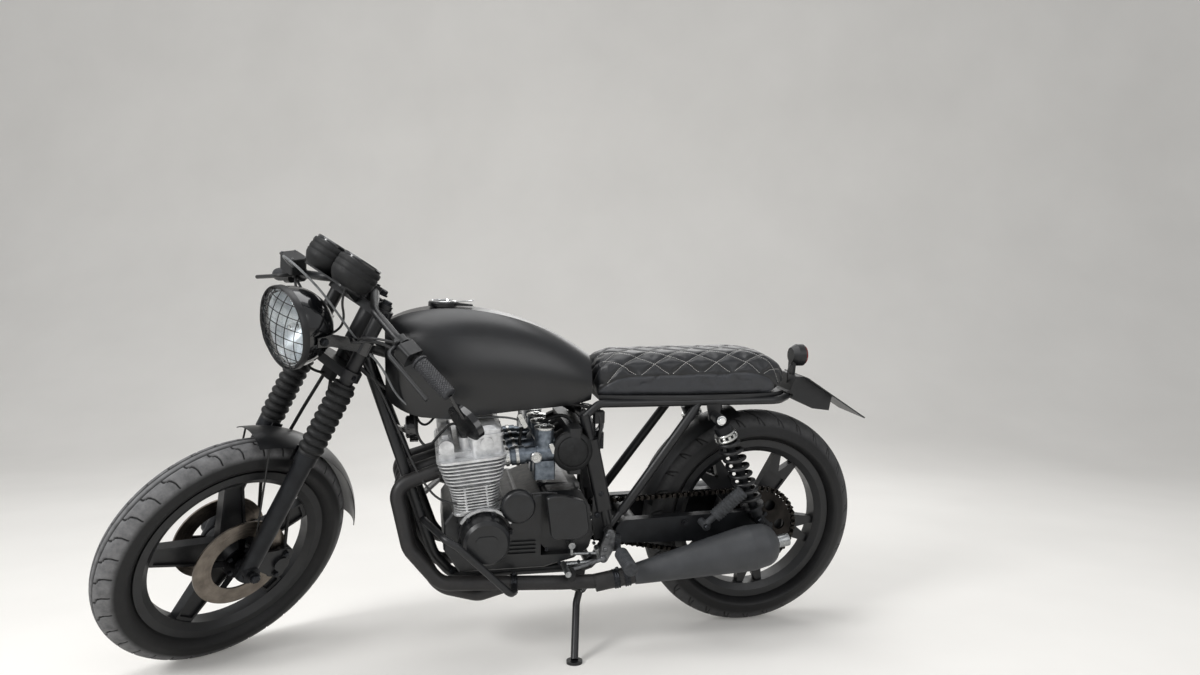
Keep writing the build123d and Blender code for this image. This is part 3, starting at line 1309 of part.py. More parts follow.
def tank_loft(inset):
    """The tank's outer form, or the same form drawn in by a wall."""
    with BuildPart() as form:
        for i, (x, z0, h0, z1, h1, z2, h2, z3, h3) in enumerate(TANK_SECTIONS):
            along = x + (inset if i == 4 else -inset if i == 0 else 0)
            low, high = z0 + inset, z3 - inset
            a, b, c, d = h0 - inset, h1 - inset, h2 - inset, h3 - inset / 2
            with BuildSketch(Plane(origin=(along, 0, 0), x_dir=(0, 1, 0), z_dir=(1, 0, 0))):
                with BuildLine():
                    Line((-a, low), (a, low))
                    ThreePointArc((a, low), (b, z1), (c, z2))
                    ThreePointArc((c, z2), ((c + d) * 0.53 + 2, (z2 + high) * 0.502), (d, high))
                    Line((d, high), (-d, high))
                    ThreePointArc((-d, high), (-(c + d) * 0.53 - 2, (z2 + high) * 0.502), (-c, z2))
                    ThreePointArc((-c, z2), (-b, z1), (-a, low))
                make_face()
        loft()
    return form.part


tank_outer = tank_loft(0)
tank_inner = tank_loft(TANK_WALL)
tunnel = slab(TUNNEL, -TUNNEL_HALF, TUNNEL_HALF)
tunnel_wall = slab([(x, z + TANK_WALL) for x, z in TUNNEL], -TUNNEL_HALF - TANK_WALL, TUNNEL_HALF + TANK_WALL)
with BuildPart() as tank_void:
    add(tank_inner)
    add(tunnel_wall, mode=Mode.SUBTRACT)
with BuildPart() as fuel_tank:
    add(tank_outer)
    with BuildSketch(Plane.XY.offset(920)):
        with Locations((NECK[0], 0)):
            Circle(NECK[1])
    extrude(amount=NECK_TOP - 920)
    add(tunnel, mode=Mode.SUBTRACT)
    add(tank_void.part, mode=Mode.SUBTRACT)
keep("fuel_tank", fuel_tank.part)

CAP_HINGE = (NECK[0] + NECK[1] + 10, NECK_TOP + 6)
with BuildPart() as fuel_cap:
    with BuildSketch(Plane.XY.offset(NECK_TOP + SEAT_GAP)):
        with Locations((NECK[0], 0)):
            Circle(NECK[1] + 5)
    extrude(amount=13)
    cap_edges = fuel_cap.faces().sort_by(Axis.Z)[-1].edges()
    fillet(cap_edges, 5)
    tail = [(NECK[0] - 20, NECK_TOP + 2), (NECK[0] - 20, NECK_TOP + 11), (NECK[0] - 78, NECK_TOP + 5),
            (NECK[0] - 78, NECK_TOP + 1)]
    add(slab(tail, -11, 11))
keep("fuel_cap", fuel_cap.part)

# Seat: a soft pad with a flat top and a rounded tail, resting on the rail

SEAT_BASE = RAIL_LEVEL + RAIL_TUBE + SEAT_GAP
with BuildPart() as seat:
    with BuildSketch(side(SEAT_HALF + 20)):
        with BuildLine():
            Polyline(
                (SEAT_FRONT + 2, SEAT_BASE), (SEAT_FRONT + 14, 770), (SEAT_FRONT + 4, 812),
                (SEAT_FRONT - 30, SEAT_TOP), (70, SEAT_TOP + 6), (0, SEAT_TOP - 2),
                (SEAT_REAR, 778), (SEAT_REAR + 10, 742),
                (SEAT_REAR + 60, SEAT_BASE), close=True,
            )
        make_face()
    extrude(amount=2 * SEAT_HALF + 40)
    with BuildSketch(Plane.XY.offset(SEAT_BASE)):
        with BuildLine():
            Line((SEAT_FRONT + 20, 96), (SEAT_FRONT + 20, -96))
            ThreePointArc((SEAT_FRONT + 20, -96), (260, -SEAT_HALF), (20, -104))
            ThreePointArc((20, -104), (SEAT_REAR - 2, 0), (20, 104))
            ThreePointArc((20, 104), (260, SEAT_HALF), (SEAT_FRONT + 20, 96))
        make_face()
    extrude(amount=200, mode=Mode.INTERSECT)
    fillet(seat.edges().group_by(Axis.Z)[-1], 14)
    add(fuel_tank.part, mode=Mode.SUBTRACT)
keep("seat", seat.part)

# Footrests, gear lever and brake pedal

PEG = (440, 312)
PEG_RADIUS = 17
PEG_RIBS = 8
with BuildPart() as footrests:
    for outward in (1, -1):
        low, high = sorted((outward * (CRADLE_HALF + 14), outward * (CRADLE_HALF + 26)))
        hanger = [(424, 334), (470, 344), (474, 312), (454, 292), (424, 292)]
        add(slab(hanger, low, high))
        low, high = sorted((outward * (CRADLE_HALF + 20), outward * 205))
        add(barrel(*PEG, 9, low, high))
        low, high = sorted((outward * 200, outward * 305))
        add(barrel(*PEG, PEG_RADIUS - 3, low, high))
        for i in range(PEG_RIBS):
            rib_low = low + 2 + i * (high - low - 6) / (PEG_RIBS - 1)
            add(barrel(*PEG, PEG_RADIUS, rib_low, rib_low + 4))
        low, high = sorted((outward * ARM_INNER + outward * ARM_THICKNESS, outward * 166))
        add(barrel(190, 360, 11, low, high))
        peg_from = Vector(192, outward * 158, 364)
        peg_run = Vector(98, outward * 180, 462) - peg_from
        for start, end, radius in ((0, 0.3, 9), (0.3, 1, 10)):
            with BuildSketch(Plane(origin=peg_from + peg_run * start, z_dir=peg_run)):
                Circle(radius)
            extrude(amount=peg_run.length * (end - start))
        for i in range(PEG_RIBS + 1):
            with BuildSketch(Plane(origin=peg_from + peg_run * (0.32 + i * 0.08), z_dir=peg_run)):
                Circle(13)
            extrude(amount=4)
    add(frame.part, mode=Mode.SUBTRACT)
    add(swing_arm.part, mode=Mode.SUBTRACT)
keep("footrests", footrests.part)

control_tubes = [
    tube([(566, 158, 326), (566, 160, 300)], 5, 0),
    tube([(566, 158, 302), (492, 160, 300)], 4, 0),
    tube([(492, 158, 310), (490, 160, 278), (588, 166, 276)], 6, 9),
    tube([(588, 160, 276), (588, 236, 278)], 8, 0),
    tube([(464, -150, 328), (482, -156, 288), (590, -214, 262), (622, -214, 264)], 7, 14),
]
with BuildPart() as foot_controls:
    for bar in control_tubes:
        add(bar)
    with BuildSketch(Plane(origin=(624, -214, 262), z_dir=(-0.3, 0, 1))):
        RectangleRounded(40, 46, 6)
    extrude(amount=10)
    add(barrel(566, 326, 9, 129, 164))
    add(barrel(492, 306, 9, 135, 164))
    add(barrel(464, 328, 12, -158, -134.3))
    add(footrests.part, mode=Mode.SUBTRACT)
    add(engine_covers.part, mode=Mode.SUBTRACT)
keep("foot_controls", foot_controls.part)

# Tail: round lamp, its red lens, the plate bracket with a blank plate

TAIL_LAMP = (-106, 812)
TAIL_RADIUS = 32
tail_plane = Plane(origin=(TAIL_LAMP[0], 0, TAIL_LAMP[1]), x_dir=(0, 1, 0), z_dir=(-1, 0, 0))
with BuildPart() as tail_light:
    with BuildSketch(tail_plane):
        Circle(22)
    with BuildSketch(tail_plane.offset(16)):
        Circle(TAIL_RADIUS)
    loft()
    with BuildSketch(tail_plane.offset(16)):
        Circle(TAIL_RADIUS)
    extrude(amount=20)
    with BuildSketch(tail_plane.offset(22)):
        Circle(TAIL_RADIUS - 3)
    extrude(amount=20, mode=Mode.SUBTRACT)
    stalk = [(-108, 806), (-118, 800), (-116, 757), (-108, 757)]
    add(slab(stalk, -16, 16))
keep("tail_light", tail_light.part)

with BuildPart() as tail_lens:
    with BuildSketch(tail_plane.offset(22 + SEAT_GAP)):
        Circle(TAIL_RADIUS - 3 - SEAT_GAP)
    extrude(amount=22)
    fillet(tail_lens.faces().sort_by(Axis.X)[0].edges(), 6)
keep("tail_lens", tail_lens.part)

with BuildPart() as plate_bracket:
    tray = [
        (-74, 709.3), (-74, 713), (-86, 716), (-104, 756.7), (-124, 756.7), (-220, 696.5),
        (-214, 655), (-160, 662), (-98, 690), (-96, 704), (-88, 709.3),
    ]
    add(slab(tray, -52, 52))
    plate = [(-126, 754), (-318, 634), (-320, 637), (-128, 757)]
    add(slab(plate, -76, 76))
keep("plate_bracket", plate_bracket.part)

# Horn and fuel tap

with BuildPart() as horn:
    with BuildSketch(Plane(origin=(962, 22, 628), x_dir=(0, 1, 0), z_dir=(1, 0, 0))):
        Circle(40)
    extrude(amount=22)
    with BuildSketch(Plane(origin=(984, 22, 628), x_dir=(0, 1, 0), z_dir=(1, 0, 0))):
        Circle(30)
    extrude(amount=8)
    add(slab([(966, 620), (1016, 640), (1016, 630), (966, 608)], 40, 58))
    add(frame.part, mode=Mode.SUBTRACT)
keep("horn", horn.part)

TAP = (692, 64)
with BuildPart() as fuel_tap:
    with BuildSketch(Plane.XY.offset(640)):
        with Locations(TAP):
            Circle(10)
    extrude(amount=60)
    with BuildSketch(Plane.XY.offset(634)):
        with Locations(TAP):
            RectangleRounded(24, 30, 5)
    extrude(amount=22)
    add(fuel_tank.part, mode=Mode.SUBTRACT)
    add(tank_void.part, mode=Mode.SUBTRACT)
keep("fuel_tap", fuel_tap.part)

# Parked: everything leans, the fork's pieces turn first, and the origin moves to the floor plan's middle

parked = {}
for name, part in pieces.items():
    turn = to_left_stop if name in steered else Location()
    parked[name] = part.moved(upright_to_ground * turn)
boxes = [part.bounding_box() for part in parked.values()]
low_x, high_x = min(box.min.X for box in boxes), max(box.max.X for box in boxes)
low_y, high_y = min(box.min.Y for box in boxes), max(box.max.Y for box in boxes)
print("box", low_x, high_x, low_y, high_y, min(box.min.Z for box in boxes), max(box.max.Z for box in boxes))
to_row = Location((-(low_x + high_x) / 2, -(low_y + high_y) / 2, 0))

os.makedirs("parts", exist_ok=True)
for name, part in parked.items():
    finished = part.moved(to_row)
    finished.label = name
    export_step(finished, f"parts/{name}.step")

bike = to_row * upright_to_ground


def report(label, point, axis, location):
    """Prints a joint's or a mount's place and direction in the row's frame, in metres."""
    at = (location * Location(point)).position
    tip = (location * Location(point + axis)).position
    print(label, [round(c / 1000, 6) for c in at], [round(c, 6) for c in tip - at])


across = Vector(0, 1, 0)
report("front_wheel_spin", front_axle, across, bike * to_left_stop)
report("rear_wheel_spin", rear_axle, across, bike)
report("steering", steering_foot + steering_axis * 700, steering_axis, bike)
report("side_stand_fold", stand_pivot, stand_axis, bike)
report("fuel_cap_hinge", Vector(CAP_HINGE[0], 0, CAP_HINGE[1]), across, bike)
print("stand turn", stand_turn)
seat_slope = Vector(SEAT_FRONT - 30 - 70, 0, -6).normalized()
seat_middle = Vector((SEAT_FRONT - 30 + 70) / 2, 0, SEAT_TOP + 3)
report("seat_top", seat_middle, Vector(-seat_slope.Z, 0, seat_slope.X), bike)
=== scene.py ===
import bmesh
import bpy
import json
from math import acos, atan2, cos, pi, radians, sin, sqrt

import numpy as np
from mathutils import Matrix, Vector
from mathutils.bvhtree import BVHTree


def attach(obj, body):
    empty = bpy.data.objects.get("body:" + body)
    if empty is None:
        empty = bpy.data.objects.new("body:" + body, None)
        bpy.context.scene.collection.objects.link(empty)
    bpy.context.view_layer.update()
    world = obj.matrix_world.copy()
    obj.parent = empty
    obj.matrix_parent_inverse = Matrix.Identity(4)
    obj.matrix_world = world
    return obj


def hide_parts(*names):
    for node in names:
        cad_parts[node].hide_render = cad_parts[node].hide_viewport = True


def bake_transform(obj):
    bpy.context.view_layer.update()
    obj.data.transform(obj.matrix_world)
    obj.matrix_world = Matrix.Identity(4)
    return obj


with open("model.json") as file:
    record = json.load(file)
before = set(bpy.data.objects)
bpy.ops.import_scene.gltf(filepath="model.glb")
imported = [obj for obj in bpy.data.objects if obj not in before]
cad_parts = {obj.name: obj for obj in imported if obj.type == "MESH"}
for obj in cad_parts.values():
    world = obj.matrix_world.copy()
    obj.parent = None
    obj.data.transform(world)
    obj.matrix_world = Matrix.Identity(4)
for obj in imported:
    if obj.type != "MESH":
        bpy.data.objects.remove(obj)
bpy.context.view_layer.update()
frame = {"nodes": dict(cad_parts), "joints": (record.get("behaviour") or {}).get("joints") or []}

# The parked motorcycle
# Pieces are drawn in millimetres in the frame of the upright motorcycle, x forward, y to its left,
# z up from the ground under the rear axle, and BIKE or FORK carries them to where it is parked.
LEAN, NOSE_DOWN = radians(8), radians(0.426)
WHEELBASE, TRAIL = 1450, 113
RAKE, STEERING_LOCK = radians(27.5), radians(41)
FRONT_RADIUS, REAR_RADIUS = 322, 325
AHEAD, LEFT, UP = Vector((1, 0, 0)), Vector((0, 1, 0)), Vector((0, 0, 1))
HANDS = (1, -1)
CYLINDERS = (114, 38, -38, -114)

joint = {j["name"]: j for j in frame["joints"]}
tilt = Matrix.Rotation(NOSE_DOWN, 4, "Y") @ Matrix.Rotation(-LEAN, 4, "X")
rear_axle_at = Vector(joint["rear_wheel_spin"]["pos_m"])
shift = Matrix.Translation(rear_axle_at - tilt @ Vector((0, 0, REAR_RADIUS / 1000)))
BIKE = shift @ tilt @ Matrix.Scale(0.001, 4)
steering_axis = Vector((-sin(RAKE), 0, cos(RAKE)))
fork_forward = Vector((cos(RAKE), 0, sin(RAKE)))
steering_foot = Matrix.Translation((WHEELBASE + TRAIL, 0, 0))
steering_turn = Matrix.Rotation(STEERING_LOCK, 4, steering_axis)
FORK = BIKE @ steering_foot @ steering_turn @ steering_foot.inverted()
front_axle = Vector((WHEELBASE, 0, FRONT_RADIUS))
rear_axle = Vector((0, 0, REAR_RADIUS))


def fork_at(s, y=0, u=0):
    """A point s above the front axle along the fork legs, y to the left and u in front."""
    return front_axle + steering_axis * s + fork_forward * u + Vector((0, y, 0))


# Materials

NOISE, CELLS, RAMP = "ShaderNodeTexNoise", "ShaderNodeTexVoronoi", "ShaderNodeValToRGB"
RANGE, MIX, MATH, BUMP = "ShaderNodeMapRange", "ShaderNodeMix", "ShaderNodeMath", "ShaderNodeBump"


def srgb(code, alpha=1.0):
    """A colour written as sRGB hex, as the linear numbers that Blender takes."""
    parts = [int(code[i:i + 2], 16) / 255 for i in (1, 3, 5)]
    return [c / 12.92 if c <= 0.04045 else ((c + 0.055) / 1.055) ** 2.4 for c in parts] + [alpha]


def feed(node, inputs):
    """Sets a node's inputs to values, or links them to the first output of another node, or to the
    output named in (node, output)."""
    for name, value in inputs.items():
        source, output = value if isinstance(value, tuple) and len(value) == 2 else (value, 0)
        if isinstance(source, bpy.types.Node):
            node.id_data.links.new(source.outputs[output], node.inputs[name])
        else:
            node.inputs[name].default_value = value


def put(tree, kind, inputs=(), stops=(), **settings):
    """Adds a node with its settings, its inputs and the stops of its colour ramp."""
    made = tree.nodes.new(kind)
    for name, value in settings.items():
        setattr(made, name, value)
    feed(made, dict(inputs))
    for i, (position, code) in enumerate(stops):
        stop = made.color_ramp.elements[i]
        stop.position, stop.color = position, srgb(code)
    return made


def new_material(name):
    """A material with its node tree, its Principled shader and Object coordinates."""
    material = bpy.data.materials.new(name)
    material.use_nodes = True
    tree = material.node_tree
    place = (put(tree, "ShaderNodeTexCoord"), "Object")
    return material, tree, tree.nodes["Principled BSDF"], place


def surface(
    name, shades, patch_mm, rough, grain_mm, grain_height_mm, metal=0.0, coat=0.0, coat_rough=0.1,
    dust=None, stretch=(1, 1, 1), specular=0.5,
):
    """A finish whose shade and gloss drift in patches, with a fine grain and dust on what faces up.
    dust holds its colour, its greatest share and the width of its patches in millimetres."""
    material, tree, shader, place = new_material(name)
    drawn = put(tree, "ShaderNodeMapping", {"Vector": place, "Scale": stretch})
    patches = put(tree, NOISE, {"Vector": drawn, "Scale": 1000 / patch_mm, "Detail": 4.0})
    colour = put(tree, RAMP, {"Fac": patches}, ((0.3, shades[0]), (0.7, shades[1])))
    if dust:
        dust_colour, share, cloud_mm = dust
        geometry = put(tree, "ShaderNodeNewGeometry")
        parts = put(tree, "ShaderNodeSeparateXYZ", {"Vector": (geometry, "Normal")})
        upward = put(tree, RANGE, {"Value": (parts, "Z"), "From Min": 0.1, "To Max": share})
        cloudy = {"Vector": place, "Scale": 1000 / cloud_mm, "Detail": 6.0, "Roughness": 0.7}
        cloud = put(tree, NOISE, cloudy)
        spread = put(tree, RANGE, {"Value": cloud, "From Min": 0.35, "From Max": 0.75})
        amount = put(tree, MATH, {0: upward, 1: spread}, operation="MULTIPLY", use_clamp=True)
        dusted = {"Factor": amount, 6: colour, 7: srgb(dust_colour)}
        colour = (put(tree, MIX, dusted, data_type="RGBA"), 2)
    glossy = {"Vector": drawn, "Scale": 1000 / (patch_mm * 0.6), "Detail": 5.0, "Roughness": 0.6}
    gloss = put(tree, NOISE, glossy)
    drift = put(tree, RANGE, {
        "Value": gloss, "From Min": 0.3, "From Max": 0.7, "To Min": rough[0], "To Max": rough[1],
    })
    grain = put(tree, NOISE, {"Vector": drawn, "Scale": 1000 / grain_mm, "Detail": 2.0})
    bump = put(tree, BUMP, {"Height": grain, "Strength": 1.0, "Distance": grain_height_mm / 1000})
    feed(shader, {
        "Base Color": colour, "Roughness": drift, "Normal": bump, "Metallic": metal, "Coat Weight": coat,
        "Coat Roughness": coat_rough, "Specular IOR Level": specular,
    })
    return material


# Satin black two-pack paint, sprayed: soft wide highlights and a faint orange peel, road dust on top
satin_paint = surface("satin_black_paint", ("#07080a", "#0c0d10"), 60, (0.32, 0.38), 1.6, 0.006,
                      coat=0.12, coat_rough=0.3, dust=("#2e2f30", 0.04, 30))
# Black powder coat on steel tube: a little rougher, with the pebbled skin of baked powder
powder_coat = surface("black_powder_coat", ("#0a0b0d", "#121316"), 40, (0.36, 0.48), 1.1, 0.015,
                      dust=("#4c4a46", 0.1, 9))
# Black stove enamel on engine castings: satin over sand-cast skin, dusty and rubbed thin
engine_enamel = surface("black_engine_enamel", ("#0b0c0e", "#15171a"), 26, (0.3, 0.44), 1.3, 0.035,
                        dust=("#57534e", 0.12, 8))
# Sand-cast aluminium, bare and oxidised: grey with darker stains and a coarse dull skin
cast_aluminium = surface("sand_cast_aluminium", ("#b7b8b9", "#e2e3e4"), 18, (0.34, 0.5), 0.9, 0.05,
                         metal=0.62, dust=("#8a8784", 0.12, 6))
# Weathered casting of the gear lever: grey, matt and scuffed
grey_casting = surface("weathered_grey_casting", ("#4b4c4e", "#77787a"), 9, (0.36, 0.52), 0.8, 0.04,
                       metal=0.7, dust=("#5d5a55", 0.2, 6))
# Die-cast zinc alloy of the carburettor bodies: blue-grey, with a fuel-stained satin skin
carburettor_alloy = surface("die_cast_zinc_alloy", ("#4e555d", "#7b838c"), 14, (0.28, 0.44), 0.8, 0.03,
                            metal=0.85, dust=("#5c5a56", 0.16, 7))
# Machined aluminium, as on carburettor tops and forged levers: brighter and finely lined
machined_aluminium = surface("machined_aluminium", ("#b3b4b3", "#d2d2cf"), 9, (0.22, 0.36), 0.5, 0.012,
                             metal=1.0, stretch=(1, 1, 6))
# Anodised grey aluminium of the arm and shock bodies: even, matt and slightly dusty
grey_anodised = surface("grey_anodised_aluminium", ("#17181b", "#222427"), 30, (0.36, 0.46), 0.8, 0.01,
                        metal=0.6, dust=("#5c5a55", 0.14, 9))
# Heat-resistant silencer paint: flat charcoal, chalky, with dust caked on its upper side
silencer_paint = surface("heat_resistant_paint", ("#2e3033", "#393b3e"), 50, (0.48, 0.6), 0.9, 0.02,
                         dust=("#6d6b68", 0.16, 20))
# Exhaust pipe paint, burnt brownish near the ports and gritty low down
header_paint = surface("burnt_header_paint", ("#111113", "#1d1b1b"), 24, (0.44, 0.6), 0.8, 0.04,
                       dust=("#5a564f", 0.16, 7))
# Hard chromium plate over polished steel: mirror bright with a faint haze
chromium_plate = surface("chromium_plate", ("#d9dbdc", "#eceded"), 30, (0.05, 0.12), 0.9, 0.002,
                         metal=1.0)
# Zinc-plated fastener steel: pale dull silver
zinc_plate = surface("zinc_plated_steel", ("#7f8183", "#a5a7a7"), 5, (0.28, 0.44), 0.5, 0.01, metal=1.0)
# Phosphated fastener steel: oily charcoal with a dull metal glint on its corners
black_steel = surface("phosphated_black_steel", ("#1d1e20", "#34363a"), 5, (0.32, 0.48), 0.5, 0.01,
                      metal=0.8)
# Oiled chain steel: dark, greasy, with brown film
oiled_steel = surface("oiled_chain_steel", ("#1a1817", "#36332f"), 4, (0.28, 0.5), 0.5, 0.02, metal=0.9)
# Moulded nitrile rubber of bellows, grips and boots: matt black going grey with dust in the folds
moulded_rubber = surface("moulded_rubber", ("#0e0e0f", "#18191a"), 16, (0.52, 0.68), 0.8, 0.02,
                         dust=("#5c5954", 0.16, 6), specular=0.35)
# Moulded rubber of the hand grips: a little paler where palms have polished the diamonds
grip_rubber = surface("polished_grip_rubber", ("#232427", "#313236"), 12, (0.38, 0.5), 0.8, 0.02,
                      dust=("#6c6a66", 0.2, 6), specular=0.45)
# Glass-filled nylon of switch pods, air box and trays: satin black with a fine spark-eroded grain
moulded_nylon = surface("moulded_black_nylon", ("#0d0e10", "#141517"), 20, (0.42, 0.52), 0.45, 0.02,
                        dust=("#4c4a46", 0.1, 8))
# Gloss black shell of lamp rims, horn and mirror: deep and wet looking
gloss_enamel = surface("gloss_black_enamel", ("#08090b", "#0d0e11"), 60, (0.12, 0.2), 2.0, 0.004,
                       coat=0.6, coat_rough=0.08, dust=("#3f3e3b", 0.06, 10))
# PVC cable sheath, grey where the sun bleached it
cable_sheath = surface("pvc_cable_sheath", ("#1a1a1b", "#2b2b2c"), 12, (0.42, 0.55), 0.7, 0.01)
grey_sheath = surface("grey_cable_sheath", ("#5d5f61", "#7d7f80"), 12, (0.42, 0.55), 0.7, 0.01)
# Ribbed grey rubber of the pegs, faded and scuffed by boots
grey_rubber = surface("grey_peg_rubber", ("#2c2d2f", "#414346"), 10, (0.6, 0.75), 0.7, 0.02,
                      specular=0.35)
# Bonded polyester thread, off-white and slightly fuzzy
thread = surface("white_polyester_thread", ("#c9c8c4", "#e4e3df"), 4, (0.6, 0.8), 0.4, 0.03)
# Back-silvered mirror glass: a plain bright metal surface
silvering = surface("silvered_glass", ("#e4e6e8", "#f4f5f6"), 60, (0.02, 0.05), 30, 0.001, metal=1.0)
# Vapour-deposited aluminium in the lamp's bowl: bright, softened by years of warm haze
reflector_coat = surface("vapour_deposited_aluminium", ("#dadfe4", "#eceff2"), 60, (0.34, 0.4), 60,
                         0.0005, metal=0.85)
# Printed dial card: matt black with pale generic markings drawn as pieces of their own
dial_card = surface("printed_dial_card", ("#0c0c0d", "#141416"), 8, (0.6, 0.7), 0.4, 0.005)
dial_print = surface("white_dial_print", ("#d8d8d4", "#eeeeea"), 3, (0.5, 0.6), 0.3, 0.005)
red_print = surface("red_needle_paint", ("#b5231c", "#cf2f25"), 3, (0.4, 0.5), 0.3, 0.005)


def tyre_rubber():
    """Moulded tyre rubber: black and a little glossy on the side walls, its crown grey, partly from wear
    and road dust and partly as painted light, and its grooves dark. The attribute crown runs from the
    side wall to the crown."""
    material, tree, shader, place = new_material("moulded_tyre_rubber")
    crown, groove = [
        (put(tree, "ShaderNodeAttribute", attribute_name=name), "Fac") for name in ("crown", "groove")
    ]
    cloud = put(tree, NOISE, {"Vector": place, "Scale": 1000 / 22, "Detail": 6.0, "Roughness": 0.7})
    side = put(tree, RAMP, {"Fac": cloud}, ((0.3, "#0d0d0e"), (0.7, "#161617")))
    # The crown's pale grey stands for wear and road dust, and partly for painted light
    wear_and_light = put(tree, RAMP, {"Fac": cloud}, ((0.3, "#5b5b5c"), (0.75, "#828283")))
    dusted = put(tree, RANGE, {"Value": crown, "From Min": 0.1, "From Max": 0.9})
    colour = put(tree, MIX, {"Factor": dusted, 6: side, 7: wear_and_light}, data_type="RGBA")
    colour = put(tree, MIX, {"Factor": groove, 6: (colour, 2), 7: srgb("#0b0b0c")}, data_type="RGBA")
    rough = put(tree, RANGE, {"Value": dusted, "To Min": 0.55, "To Max": 0.85})
    grain = put(tree, NOISE, {"Vector": place, "Scale": 1000 / 1.2, "Detail": 2.0})
    bump = put(tree, BUMP, {"Height": grain, "Strength": 1.0, "Distance": 0.00006})
    feed(shader, {
        "Base Color": (colour, 2), "Roughness": rough, "Normal": bump,
        "Specular IOR Level": 0.35,
    })
    return material


def turned_steel(name, shades, spin, step_mm, rough, bare_mm=0.0):
    """Steel ground or turned about a joint's axis: fine rings step_mm apart, drawn wider than the real
    scratches so that they show, under a film of brake dust or oil. Inside bare_mm it is painted
    black."""
    material, tree, shader, place = new_material(name)
    turn_to = Vector(joint[spin]["axis"]).normalized().to_track_quat("Z", "Y").inverted().to_euler()
    moved = put(tree, "ShaderNodeVectorMath", {0: place, 1: joint[spin]["pos_m"]}, operation="SUBTRACT")
    turned = put(tree, "ShaderNodeMapping", {"Vector": moved, "Rotation": turn_to})
    flat = put(tree, "ShaderNodeVectorMath", {0: turned, 1: (1, 1, 0)}, operation="MULTIPLY")
    radius = (put(tree, "ShaderNodeVectorMath", {0: flat}, operation="LENGTH"), "Value")
    ringed = {"W": radius, "Scale": 1000 / step_mm, "Detail": 3.0}
    rings = put(tree, NOISE, ringed, noise_dimensions="1D")
    film = put(tree, NOISE, {"Vector": place, "Scale": 1000 / 30, "Detail": 4.0})
    tone = put(tree, RAMP, {"Fac": film}, ((0.3, shades[0]), (0.7, shades[1])))
    edge = bare_mm / 1000
    bare = put(tree, RANGE, {"Value": radius, "From Min": edge - 0.0005, "From Max": edge})
    painted = {"Factor": bare, 6: srgb("#131315"), 7: tone}
    colour = put(tree, MIX, painted, data_type="RGBA")
    gloss = put(tree, RANGE, {
        "Value": rings, "From Min": 0.3, "From Max": 0.7, "To Min": rough[0], "To Max": rough[1],
    })
    bump = put(tree, BUMP, {"Height": rings, "Strength": 1.0, "Distance": 0.00004})
    feed(shader, {"Base Color": (colour, 2), "Roughness": gloss, "Normal": bump, "Metallic": 1.0})
    return material


def clear_glass(name, tint, flute_mm=0):
    """Pressed or float glass: clear, with a faint tint, and upright flutes where it has them."""
    material, tree, shader, place = new_material(name)
    drift = put(tree, NOISE, {"Vector": place, "Scale": 1000 / 40, "Detail": 2.0})
    tone = put(tree, RAMP, {"Fac": drift}, ((0.3, tint), (0.7, "#ffffff")))
    feed(shader, {"Base Color": tone, "Transmission Weight": 1.0, "Roughness": 0.02, "IOR": 1.5})
    if flute_mm:
        across = (put(tree, "ShaderNodeUVMap", uv_map="flutes"), "UV")
        flutes = put(
            tree, "ShaderNodeTexWave", {"Vector": across, "Scale": 10 / flute_mm}, bands_direction="X",
        )
        bump = put(tree, BUMP, {"Height": (flutes, "Fac"), "Distance": 0.00004})
        feed(shader, {"Normal": bump})
    return material


def red_acrylic():
    """Moulded red acrylic of the tail lens: deep, clear red with small prisms inside."""
    material, tree, shader, place = new_material("moulded_red_acrylic")
    cells = put(tree, CELLS, {"Vector": place, "Scale": 1000 / 4})
    tone = put(tree, RAMP, {"Fac": cells}, ((0.0, "#c0141a"), (0.6, "#7d0a10")))
    bump = put(tree, BUMP, {"Height": cells, "Distance": 0.0004})
    feed(shader, {
        "Base Color": tone, "Normal": bump, "Roughness": 0.12,
        "Transmission Weight": 0.35, "IOR": 1.49,
    })
    return material


def seat_vinyl():
    """Black upholstery vinyl, calendered with a leather grain of cells about 1.6 mm wide, and a soft
    sheen.
    Its creases carry painted shade: near black along a seam or a sewn channel, where the seam attribute
    is 1. The attribute band is 1 on the plain strip round the side."""
    material, tree, shader, place = new_material("grained_black_vinyl")
    seam_shade, band = [
        (put(tree, "ShaderNodeAttribute", attribute_name=name), "Fac") for name in ("seam_shade", "band")
    ]
    cells = put(tree, CELLS, {"Vector": place, "Scale": 1000 / 1.6}, feature="SMOOTH_F1")
    cloud = put(tree, NOISE, {"Vector": place, "Scale": 1000 / 45, "Detail": 5.0, "Roughness": 0.6})
    top = put(tree, RAMP, {"Fac": cloud}, ((0.3, "#0f1013"), (0.7, "#181a1e")))
    side = put(tree, RAMP, {"Fac": cloud}, ((0.3, "#26282c"), (0.7, "#323439")))
    colour = put(tree, MIX, {"Factor": band, 6: top, 7: side}, data_type="RGBA")
    # Painted shade: the vinyl is coloured near black along its seams and sewn channels
    colour = put(tree, MIX, {"Factor": seam_shade, 6: (colour, 2), 7: srgb("#08080a")}, data_type="RGBA")
    gloss = put(tree, RANGE, {
        "Value": cloud, "From Min": 0.3, "From Max": 0.7, "To Min": 0.36, "To Max": 0.5,
    })
    bump = put(tree, BUMP, {"Height": cells, "Distance": 0.00018})
    feed(shader, {
        "Base Color": (colour, 2), "Roughness": gloss, "Normal": bump,
        "Sheen Weight": 0.12, "Sheen Roughness": 0.4,
    })
    return material


tyre = tyre_rubber()
disc_steel = turned_steel(
    "ground_disc_steel", ("#655e57", "#857d74"), "front_wheel_spin", 1.4, (0.25, 0.45), 76,
)
sprocket_steel = turned_steel(
    "oiled_sprocket_steel", ("#1b1a19", "#2e2b29"), "rear_wheel_spin", 1.8, (0.3, 0.5),
)
lamp_glass = clear_glass("pressed_lamp_glass", "#eef3f4", 9)
dial_glass = clear_glass("flat_dial_glass", "#e6ecee")
red_lens = red_acrylic()
vinyl = seat_vinyl()

